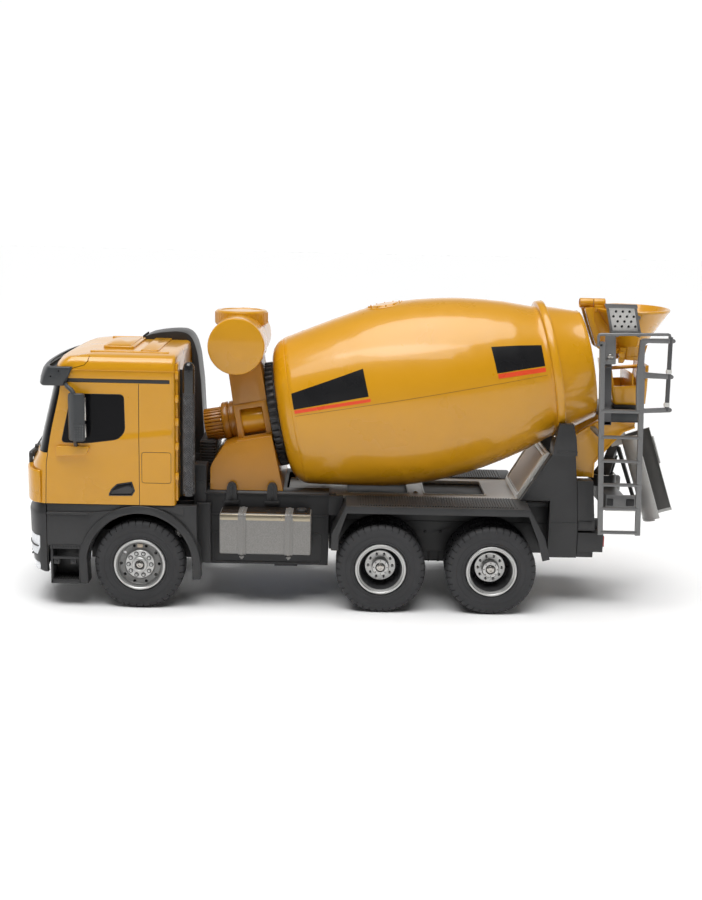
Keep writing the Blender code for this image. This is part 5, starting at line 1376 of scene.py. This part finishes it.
def rear_supports():
    """Stands that carry the drum's rear on two rollers, and the inner panels."""
    main = [(0.13, 0.0862), (0.1538, 0.1255), (0.1716, 0.1255), (0.1738, 0.101), (0.1765, 0.0617),
            (0.1765, 0.04), (0.1535, 0.04), (0.1535, 0.0862)]
    saddle = [(0.1528, 0.124), (0.172, 0.124), (0.1708, 0.137), (0.168, 0.149), (0.1572, 0.149),
              (0.1535, 0.132)]
    drum_room = [(0.0, 0.15), (0.0579, 0.15), (0.0579, 0.26), (0.0, 0.26)]
    for name, side in SIDES:
        roller_x, roller_z = along(TRACK_U, -ROLLER_REACH * cos(ROLLER_ANGLE))
        middle = Vector((roller_x, side * ROLLER_REACH * sin(ROLLER_ANGLE), roller_z))
        way = Vector((cos(TILT), 0.0, sin(TILT)))
        place = axis_place(middle, way)
        cuts = [lathe(drum_room, 96, DRUM_PLACE),
                lathe([(0.0, -0.0052), (0.007, -0.0052), (0.007, 0.0052), (0.0, 0.0052)], 28, place)]
        piece(f"rear_support_body_{name}", on_side(side, [prism(main, "xz", 0.038, 0.0453)]), "black",
              stands_for=[f"rear_support_{name}"],
              joins=[on_side(side, [prism(saddle, "xz", 0.0332, 0.0508)])], cuts=cuts, bevel=0.0007,
              segments=3)
        parts = [prism([(0.1768, 0.0622), (0.1905, 0.0622), (0.187, 0.1028), (0.1742, 0.1028)],
                       "xz", 0.033, 0.0446)]
        parts += [prism(rectangle((0.1768, 0.1972), (0.0452, 0.0606)), "xz", 0.03, 0.0462)]
        parts += [prism(rectangle((0.1768, 0.1897), (0.0405, 0.047)), "xz", 0.033, 0.045)]
        parts += [prism(rectangle((0.154, 0.1764), (0.0684, 0.069)), "xz", 0.045, 0.0456)]
        parts += [prism([(0.131, 0.087), (0.154, 0.087), (0.154, 0.0878), (0.1316, 0.0878)],
                        "xz", 0.0448, 0.0456)]
        parts += [prism(ribbon([(0.1318, 0.088), (0.1546, 0.125)], 0.0016), "xz", 0.0448, 0.0458)]
        parts += [prism(rectangle((0.156, 0.172), (0.1262, 0.1276)), "xz", 0.0504, 0.0513)]
        parts += [block((0.177, 0.0452, 0.064), (0.188, 0.0457, 0.07))]
        piece(f"rear_support_blocks_{name}", on_side(side, parts), "black", bevel=0.0006, segments=3)
        panel = [block((-0.0215, 0.0314, 0.04), (0.1585, 0.0333, 0.0815)),
                 block((0.1535, 0.032, 0.045), (0.1585, 0.0388, 0.08))]
        axle_room = [rod((x, side * 0.03, TYRE_R), (x, side * 0.035, TYRE_R), 0.009, 32) for x in REAR_AXLES]
        piece(f"inner_panel_{name}", on_side(side, panel), "black", cuts=axle_room, bevel=0.0004)
        tyre = [(0.0, -0.004), (0.0052, -0.004), (0.006, -0.0033), (0.006, -0.001), (0.0057, -0.0008),
                (0.0057, 0.0008), (0.006, 0.001), (0.006, 0.0033), (0.0052, 0.004), (0.0, 0.004)]
        piece(f"roller_{name}", [lathe(tyre, 48, place)], "black", f"roller_{name}",
              [f"support_roller_{name}"])
        pins = [rod(middle + way * a, middle + way * b, 0.0015, 16)
                for a, b in ((-0.0075, -0.0041), (0.0041, 0.0075))]
        piece(f"roller_pins_{name}", pins, "steel")


def hopper():
    """Loading funnel over the drum's mouth, with its arms and lugs."""
    oval = Matrix.Translation((0.2185, 0.0, 0.0)) @ Matrix.Diagonal((1.0, 1.35, 1.0, 1.0))
    profile = [(0.011, 0.196), (0.0113, 0.1964), (0.0113, 0.199), (0.011, 0.1994), (0.011, 0.2064),
               (0.0114, 0.2072), (0.0284, 0.234), (0.0293, 0.2348), (0.0295, 0.236), (0.029, 0.2368),
               (0.028, 0.2369), (0.0273, 0.2362), (0.0098, 0.2068), (0.0094, 0.206), (0.0094, 0.196)]
    piece("hopper_funnel", [lathe(profile, 96, oval, True)], "yellow", stands_for=["hopper"], angle=40)

    def tube(start, end, radius, wall):
        place = axis_place((start, 0.0, 0.2398), (1, 0, 0))
        inner, length = radius - wall, end - start
        return lathe([(radius - 0.0003, 0.0), (radius, 0.0003), (radius, length - 0.0003),
                      (radius - 0.0003, length), (inner, length), (inner, 0.0)], 40, place, True)

    parts = [tube(0.1762, 0.1868, 0.0039, 0.0008), tube(0.1872, 0.1965, 0.0039, 0.003)]
    parts += [block((0.1858, -0.0012, 0.2415), (0.1872, 0.0012, 0.2436)),
              rod((0.188, 0, 0.2398), (0.199, 0, 0.2362), 0.003)]
    piece("hopper_roll", parts, "yellow", bevel=0.0002)
    arm = [(0.1786, 0.2365), (0.185, 0.237), (0.1872, 0.226), (0.1935, 0.2095), (0.199, 0.206),
           (0.1985, 0.201), (0.19, 0.205), (0.1838, 0.2215)]
    piece("hopper_arms", both([prism(rounded(arm, 0.002, 3), "xz", 0.006, 0.011)]), "yellow", bevel=0.0006)
    tongue = [block((0.1875, -0.007, 0.2335), (0.1945, 0.007, 0.2385)),
              block((0.1975, -0.011, 0.2005), (0.21, 0.011, 0.2045))]
    tongue += both([rod((0.2094, 0.0125, z), (0.2094, 0.017, z), 0.0024, 20) for z in (0.2005, 0.1965)])
    tongue += both([prism([(0.2075, 0.1935), (0.2115, 0.1935), (0.2135, 0.206), (0.2085, 0.206)],
                          "xz", 0.012, 0.0142)])
    tongue += both([prism([(0.2225, 0.1925), (0.2262, 0.1925), (0.23, 0.2085), (0.2255, 0.206)],
                          "xz", 0.012, 0.0142)])
    tongue += [prism([(0.1835, 0.2372), (0.1965, 0.2345), (0.209, 0.208), (0.209, 0.201), (0.1955, 0.2015),
                      (0.1872, 0.222)], "xz", -0.006, 0.006)]
    piece("hopper_lugs", tongue, "yellow", bevel=0.0004)


def collector():
    """Open tray under the drum's mouth, its divider, brackets and carrier."""
    def level(z, x0, x1, half):
        return [(x, y, z) for x, y in rounded(rectangle((x0, x1), (-half, half)), 0.003)]

    outer = loft([level(0.161, 0.2046, 0.2284, 0.022), level(0.1622, 0.2035, 0.2295, 0.0236),
                  level(0.174, 0.2012, 0.2298, 0.025), level(0.193, 0.1976, 0.23, 0.025)])
    inner = loft([level(0.1626, 0.2052, 0.2278, 0.022), level(0.174, 0.203, 0.2281, 0.0233),
                  level(0.199, 0.1982, 0.2283, 0.0233)])
    scoop = rounded([(0.2012, 0.176), (0.226, 0.1772), (0.2284, 0.184), (0.229, 0.2), (0.197, 0.2),
                     (0.199, 0.185)], 0.0024, 3)
    piece("collector_tray", [outer], "yellow", stands_for=["collector"],
          cuts=[inner, both([prism(scoop, "xz", 0.0225, 0.027)])], bevel=0.0004)
    divider = [prism([(0.2185, 0.162), (0.2198, 0.162), (0.2182, 0.186), (0.2169, 0.186)],
                     "xz", -0.0232, 0.0232)]
    divider += [rod((0.2, 0.0, 0.1872), (0.2286, 0.0, 0.1898), 0.0015, 16)]
    divider += [prism([(0.2205, 0.1622), (0.2292, 0.1622), (0.229, 0.1462), (0.2244, 0.1462)],
                      "xz", -0.015, 0.015)]
    piece("collector_divider", divider, "yellow", bevel=0.0003)
    arm = [(0.1735, 0.1034), (0.1884, 0.1034), (0.1888, 0.1156), (0.2006, 0.13), (0.2107, 0.1411),
           (0.2198, 0.1447), (0.2198, 0.149), (0.1925, 0.149), (0.1718, 0.1365), (0.172, 0.13)]
    flange = ribbon([(0.1735, 0.1375), (0.1925, 0.1492), (0.2198, 0.1492)], 0.0014)
    front = ribbon([(0.1884, 0.1034), (0.1888, 0.1156), (0.2006, 0.13), (0.2107, 0.1411), (0.2198, 0.1447)],
                   0.0014)
    piece("collector_brackets", both([prism(arm, "xz", 0.029, 0.0315)]), "yellow",
          joins=[both([prism(flange, "xz", 0.0248, 0.033)]), both([prism(front, "xz", 0.0252, 0.033)])],
          bevel=0.0004)
    plate = [block((0.1958, -0.0334, 0.1488), (0.2222, 0.0334, 0.157)),
             block((0.1958, -0.034, 0.1486), (0.2222, 0.034, 0.1496))]
    plate += [block((0.205, -0.02, 0.1568), (0.227, 0.02, 0.1608))]
    piece("collector_carrier", plate, "dark_grey", bevel=0.0005)


def perforated_plate():
    """Sheet with staggered holes in a frame that leans forward."""
    lean, low_x, low_z, tall, wide = 0.227, 0.1918, 0.2212, 0.0222, 0.0236

    def corner(x, z):
        return (low_x + x - lean * z, low_z + z)

    outline = [corner(0.0012, 0.0016), corner(wide - 0.0012, 0.0016), corner(wide - 0.0012, tall - 0.0014),
               corner(0.0012, tall - 0.0014)]
    cuts = []
    for row in range(4):
        count = 3 + row % 2
        for column in range(count):
            x, z = corner(0.008 + (column - (row % 2) * 0.5) * 0.0052 - 0.0008, tall - 0.0056 - row * 0.0038)
            cuts.append(rod((x, -0.056, z), (x, -0.044, z), 0.00105, 16))
    piece("plate_sheet", [prism(outline, "xz", -0.0512, -0.0502)], "plate_grey",
          stands_for=["perforated_plate"], cuts=cuts)
    edge = [corner(0.001, 0.001), corner(wide - 0.001, 0.001), corner(wide - 0.001, tall - 0.001),
            corner(0.001, tall - 0.001)]
    frame_parts = [band(edge, 0.0018, "xz", -0.0524, -0.0498)]
    frame_parts += [prism([corner(-0.0004, tall - 0.003), corner(wide + 0.0004, tall - 0.003),
                           corner(wide + 0.0004, tall), corner(-0.0004, tall)], "xz", -0.053, -0.049)]
    frame_parts += [prism([corner(0.0, -0.0002), corner(wide, -0.0002), corner(wide, 0.0016),
                           corner(0.0, 0.0016)], "xz", -0.0545, -0.048)]
    piece("plate_backing",
          [prism([corner(0.0014, 0.0018), corner(wide - 0.0014, 0.0018), corner(wide - 0.0014, tall - 0.0016),
                  corner(0.0014, tall - 0.0016)], "xz", -0.0498, -0.0492)], "rail_black")
    frame_parts += [rod((corner(x, 0.0)[0], -0.051, 0.2206), (corner(x, 0.0)[0], -0.064, 0.2206), 0.0011, 12)
                    for x in (0.003, wide - 0.004)]
    frame_parts += [block((corner(wide - 0.001, 0.012)[0], -0.052, 0.232),
                          (corner(wide, 0.012)[0] + 0.0016, -0.037, 0.2345))]
    piece("plate_frame", frame_parts, "grey", bevel=0.0003)


def ladder():
    """Ladder on the truck's left side, with its top bar, post and straps."""
    y0, y1, y = -0.0674, -0.0646, -0.066
    front = [(0.1903, 0.065), (0.1832, 0.2135), (0.1836, 0.216)]
    rear = [(0.2195, 0.065), (0.2146, 0.198)]
    stiles = [prism(ribbon(path, 0.004), "xz", y0, y1) for path in (front, rear)]
    shape = rounded([(0.2122, 0.1617), (0.2392, 0.163), (0.2392, 0.1666), (0.2166, 0.1652), (0.216, 0.189),
                     (0.2388, 0.1884), (0.2388, 0.192), (0.2158, 0.1934), (0.2156, 0.2158), (0.2384, 0.2158),
                     (0.2384, 0.2194), (0.2118, 0.219), (0.2106, 0.19)], 0.003, 5)
    stiles.append(prism(shape, "xz", y0, y1))
    piece("ladder_frame", stiles[:1], "grey", stands_for=["ladder"], joins=[stiles[1], stiles[2]],
          bevel=0.0005, segments=3)
    rungs = []
    for z in (0.0669, 0.086, 0.1049, 0.1237, 0.1424):
        share = (z - 0.065) / 0.1485
        rungs.append(block((0.1903 - 0.0071 * share, y0 - 0.0004, z - 0.001),
                           (0.2195 - 0.0055 * share, y1 + 0.001, z + 0.0011)))
    rungs.append(block((0.1856, y0 - 0.0004, 0.1615), (0.215, y1 + 0.001, 0.164)))
    piece("ladder_rungs", rungs, "grey", bevel=0.0004)
    bars = [pipe([(0.1803, y, 0.213), (0.18, y, 0.22), (0.1806, y, 0.2212), (0.182, y, 0.2215),
                  (0.2325, y, 0.2224), (0.2338, y, 0.222), (0.2342, y, 0.2208), (0.2342, y, 0.219)], 0.00115,
                 14)]
    bars += [block((0.179, y0, 0.2125), (0.1832, y1, 0.2142))]
    piece("ladder_top_bar", bars, "grey", bevel=0.0001)
    piece("ladder_post", [rod((0.2349, y, 0.2205), (0.2356, y, 0.164), 0.0017, 16)], "grey_dark")
    couplings = [rod((0.2352, y, z - half), (0.2352, y, z + half), radius, 20)
                 for half, radius in ((0.0016, 0.0022), (0.0003, 0.0024)) for z in (0.1942, 0.1688)]
    piece("ladder_couplings", couplings, "silver")
    strap = [prism([(0.1865, 0.1982), (0.1955, 0.1982), (0.1942, 0.2205), (0.1862, 0.2205)],
                   "xz", -0.0612, -0.0598), block((0.188, -0.0648, 0.201), (0.1935, -0.06, 0.2024))]
    strap += [block((0.184, -0.065, 0.1424), (0.188, -0.0333, 0.145))]
    piece("ladder_straps", strap, "grey", bevel=0.0003)
    strip = [prism([(0.1896, 0.15), (0.1958, 0.15), (0.1936, 0.1975), (0.1876, 0.1975)],
                   "xz", -0.0556, -0.054), block((0.1898, -0.0556, 0.1502), (0.196, -0.0332, 0.153)),
             block((0.188, -0.0604, 0.195), (0.193, -0.0545, 0.1965))]
    piece("ladder_brace", strip, "grey_dark", bevel=0.0003)
    piece("ladder_strap_screw", [screw(axis_place((0.1909, -0.0612, 0.204), (0, -1, 0)), 0.0021, 0.001)],
          "steel")


def rear_beam():
    """Cross beam at the rear with its lamps and bolts."""
    body = prism([(0.1987, 0.0785), (0.1995, 0.0777), (0.2262, 0.0777), (0.2262, 0.0893), (0.225, 0.0905),
                  (0.1987, 0.0905)], "xz", -0.04, 0.04)
    piece("beam_body", [body], "grey", stands_for=["rear_beam"], bevel=0.0006, segments=3,
          cuts=[block((0.2135, -0.0365, 0.07), (0.24, 0.0365, 0.1))])
    piece("beam_lamps", both([prism(rounded(rectangle(x, (0.0822, 0.088)), 0.0008), "xz", 0.0396, 0.0408)
                              for x in ((0.1994, 0.2046), (0.215, 0.2214))]), "rail_black", bevel=0.0003)
    piece("beam_ledge", both([block((0.1987, 0.0396, 0.0779), (0.226, 0.0406, 0.0792))]), "silver",
          bevel=0.0002)
    bolts = [rod((0.1984, y, 0.0852), (0.1972, y, 0.0852), 0.0018, 20) for y in (-0.026, -0.02, 0.02, 0.026)]
    piece("beam_front_bolts", bolts, "steel")
    tails = both([prism(rounded(rectangle(spot, (0.049, 0.058)), 0.0015), "yz", 0.197, 0.1984)
                  for spot in ((0.032, 0.038), (0.0388, 0.0448))])
    piece("tail_lamps", tails, "red", bevel=0.0003)


def chute():
    """Swivel bracket turned by yaw, and the trough that hangs from its pin, tipped down by pitch."""
    yaw, pitch, radius, length = radians(-25), radians(71), 0.0195, 0.0714
    top = radius + 0.0045
    swivel = Matrix.Translation((0.203, 0.0, 0.0)) @ Matrix.Rotation(yaw, 4, "Z")
    tilt = swivel @ Matrix.Translation((0.0095, 0.0, 0.13)) @ Matrix.Rotation(pitch, 4, "Y")
    disc = [(0.0, 0.0908), (0.0104, 0.0908), (0.011, 0.0914), (0.011, 0.099), (0.0104, 0.1), (0.0, 0.1)]
    post = [(-0.0042, 0.095), (0.0042, 0.095), (0.0121, 0.127), (0.0123, 0.1318), (0.011, 0.1326),
            (0.008, 0.1326), (0.0067, 0.1315)]
    cheeks = [moved(prism([(-0.0075, 0.0998), (0.007, 0.0998), (0.0105, 0.115), (0.002, 0.115)], "xz", a, b),
                    swivel) for a, b in ((-0.0062, -0.0048), (0.0048, 0.0062))]
    piece("swivel_bracket", [lathe(disc, 48, swivel)], "black", "chute_swivel", ["chute_bracket"],
          joins=[moved(prism(post, "xz", -0.005, 0.005), swivel), cheeks], bevel=0.0004)
    ring = [(0.0092, 0.0999), (0.01, 0.0999), (0.01, 0.1006), (0.0092, 0.1006)]
    pin = axis_place((0.0095, -0.0058, 0.13), (0, 1, 0))
    piece("swivel_ring", [
        lathe(ring, 48, swivel, True),
        lathe([(0.0, 0.0), (0.0014, 0.0), (0.0014, 0.0004), (0.0, 0.0004)], 16, swivel @ pin),
    ], "steel", "chute_swivel")

    def trough(outer, inner, low, high, first, last=360):
        outline = arc((0.0, top), outer, first, last, 48) + arc((0.0, top), inner, last, first, 48)
        return moved(prism(outline, "yz", low, high), tilt)

    shell = trough(radius, radius - 0.0013, -0.001, length - 0.003, 186)
    lip = trough(radius + 0.0003, radius - 0.0016, length - 0.004, length - 0.0016, 200)
    ears = moved(block((-0.0048, -0.0085, -0.003), (0.0048, 0.0085, 0.0062)), tilt)
    slot = moved(block((-0.01, -0.0055, -0.01), (0.01, 0.0055, 0.0041)), tilt)
    edge = moved(prism([(radius - 0.0006, top - 0.0004), (radius + 0.0016, top - 0.0002),
                        (radius + 0.0016, top + 0.001), (radius - 0.0014, top + 0.001)], "yz", 0.007, 0.03),
                 tilt)
    piece("chute_trough", [shell], "chute_silver", "chute", ["discharge_chute"], joins=[lip, ears, edge],
          cuts=[slot], bevel=0.0002)
    # A thin dark sheet over the trough's inside: painted shade of the hollow, not a real lining.
    piece("chute_painted_shade", [trough(radius - 0.0012, radius - 0.0017, -0.0006, length - 0.004, 200, 359.6)],
          "chute_dark", "chute")
    strut = [(0.006, -0.0016), (0.052, -0.0004), (0.052, 0.0044), (0.049, 0.0052), (0.0488, 0.0018),
             (0.0075, 0.0012)]
    piece("chute_strut", [moved(prism(strut, "xz", -0.0022, 0.0022), tilt)], "rail_black", "chute",
          bevel=0.0003)


# Fittings on the running gear and inside the chassis cover.
def frame_fittings():
    """Rivets, cross members and end caps of the two rails."""
    rivets = [rod((x, 0.0308, z), (x, 0.0318, z), 0.001, 12) for x in (-0.225, -0.208, -0.19, -0.144, -0.128,
              -0.012, 0.042, 0.06, 0.078, 0.13, 0.148, 0.166, 0.184) for z in (0.056, 0.064)]
    piece("rail_rivets", both(rivets), "steel")
    braces = [block((x - half, -0.0262, 0.0535), (x + half, 0.0262, top))
              for half, top in ((0.003, 0.056), (0.0006, 0.064)) for x in (-0.23, 0.142, 0.188)]
    piece("rail_cross_members", braces, "rail_black", bevel=0.0003)
    ends = both([prism(rounded(rectangle((0.0262, 0.03), (0.053, 0.067)), 0.0006), "yz", x, x + 0.0008)
                 for x in (-0.2368, 0.196)])
    piece("rail_end_caps", ends, "black", bevel=0.0002)


def drive_fittings():
    """Bolts and ribs of the gearbox, hoops and cap of the drive motor."""
    bolts = [screw(axis_place((x, y, 0.05), (0, 0, 1)), 0.0013, 0.0008) for x in (0.035, 0.05, 0.078, 0.093)
             for y in (-0.0128, 0.0128) if not 0.04 < x < 0.077]
    bolts += [screw(axis_place((x, y, 0.0262), (0, 0, -1)), 0.0013, 0.0008)
              for x in (0.034, 0.05, 0.076, 0.092) for y in (-0.012, 0.012)]
    piece("gearbox_bolts", bolts, "steel")
    seam = [block((0.011, -0.0156, 0.0374), (0.1145, 0.0156, 0.0386))]
    seam += [
        block((x, -0.0154, 0.0262), (x + 0.0012, 0.0154, 0.05)) for x in (0.044, 0.052, 0.06, 0.068, 0.076)
    ]
    seam += both(
        [lathe([(0.0068, 0.015), (0.0092, 0.015), (0.0092, 0.0166), (0.0078, 0.0196), (0.0068, 0.0196)], 40,
               axis_place((x, 0.0, TYRE_R), (0, 1, 0)), True) for x in REAR_AXLES]
    )
    piece("gearbox_ribs", seam, "black", bevel=0.0003,
          cuts=[rod((x, -0.04, TYRE_R), (x, 0.04, TYRE_R), 0.0031, 24) for x in REAR_AXLES])
    can = axis_place((0.044, 0.0, 0.064), (1, 0, 0))
    hoops = [lathe([(0.0119, h), (0.0122, h), (0.0122, h + 0.0012), (0.0119, h + 0.0012)], 48, can, True)
             for h in (0.003, 0.027)]
    tabs = [block((0.075, y - 0.001, 0.069), (0.0775, y + 0.001, 0.0694)) for y in (-0.005, 0.005)]
    piece("motor_hoops", [*hoops, *tabs], "steel")
    cap = [(0.0, 0.0312), (0.005, 0.0312), (0.005, 0.0326), (0.0044, 0.033), (0.0, 0.033)]
    piece("motor_end_cap", [lathe(cap, 32, can)], "black")


def front_fittings():
    """Front axle ribs, kingpin caps, and the servo's horn and seams."""
    ribs = [block((-0.1735, y - 0.0006, 0.0385), (-0.1625, y + 0.0006, 0.0412))
            for y in (-0.02, -0.01, 0.0, 0.01, 0.02)]
    piece("axle_ribs", ribs, "black", bevel=0.0002)
    piece("kingpin_caps",
          both([lathe([(0.0, 0.0499), (0.0031, 0.0499), (0.0031, 0.051), (0.0024, 0.0518), (0.0, 0.0518)], 28,
                      Matrix.Translation((FRONT_AXLE_X, 0.048, 0.0)))]), "steel")
    piece("hanger_bolts", both([screw(axis_place((FRONT_AXLE_X + dx, 0.0308, 0.044), (0, 1, 0)), 0.0012,
                                      0.0006) for dx in (-0.0028, 0.0028)]), "steel")
    horn = [prism(rounded([(-0.204, -0.0022), (-0.19, -0.0012), (-0.19, 0.0012), (-0.204, 0.0022)], 0.0008),
                  "xy", 0.0424, 0.0438)]
    horn += [rod((-0.202, 0.0, 0.0424), (-0.202, 0.0, 0.0442), 0.003, 28)]
    piece("servo_horn", horn, "steel")
    rims = [block((-0.2154, -0.0184, 0.056), (-0.1896, 0.0184, 0.0568)),
            block((-0.2154, -0.0184, 0.063), (-0.1896, 0.0184, 0.0636))]
    piece("servo_seams", rims, "rail_black", bevel=0.0002)


def electronics():
    """Battery bands, and the plugs and capacitors of the circuit board."""
    sleeves = [block((x, -0.0223, 0.0447), (x + 0.0035, 0.0223, 0.0653)) for x in (-0.089, -0.0355)]
    piece("battery_bands", sleeves, "rail_black", bevel=0.0005)
    plugs = [block((-0.035, y - 0.003, 0.0756), (-0.0332, y + 0.003, 0.0782)) for y in (-0.014, 0.0, 0.014)]
    plugs += [block((-0.1056, y - 0.0026, 0.0756), (-0.103, y + 0.0026, 0.0786)) for y in (-0.012, 0.012)]
    piece("board_plugs", plugs, "beige", bevel=0.0003)
    cans = [rod((x, y, 0.0756), (x, y, 0.0796), 0.002, 24)
            for x, y in ((-0.096, 0.016), (-0.09, 0.016), (-0.042, -0.016))]
    piece("board_capacitors", cans, "rail_black", bevel=0.0002)


BUILDERS = (
    wheels, drum, cab_body, cab_details, sun_visor, mirrors, front_bumper, skirts, behind_cab, chassis_cover,
    fuel_tanks, pedestal, water_tank, deck, fenders, rear_supports, hopper, collector, perforated_plate,
    ladder, rear_beam, chute, frame_fittings, drive_fittings, front_fittings, electronics
)


def dress_nodes():
    """CAD nodes that show as they are get a finish too."""
    for row in frame["record"]["subparts"]:
        node = frame["nodes"][row["node"]]
        if node.hide_render:
            continue
        kind = next(k for k, slot in SLOTS.items() if slot == row["material_slot"])
        node.data.materials.clear()
        node.data.materials.append(FINISH[kind])


for build in BUILDERS:
    build()
dress_nodes()
stage()
camera()
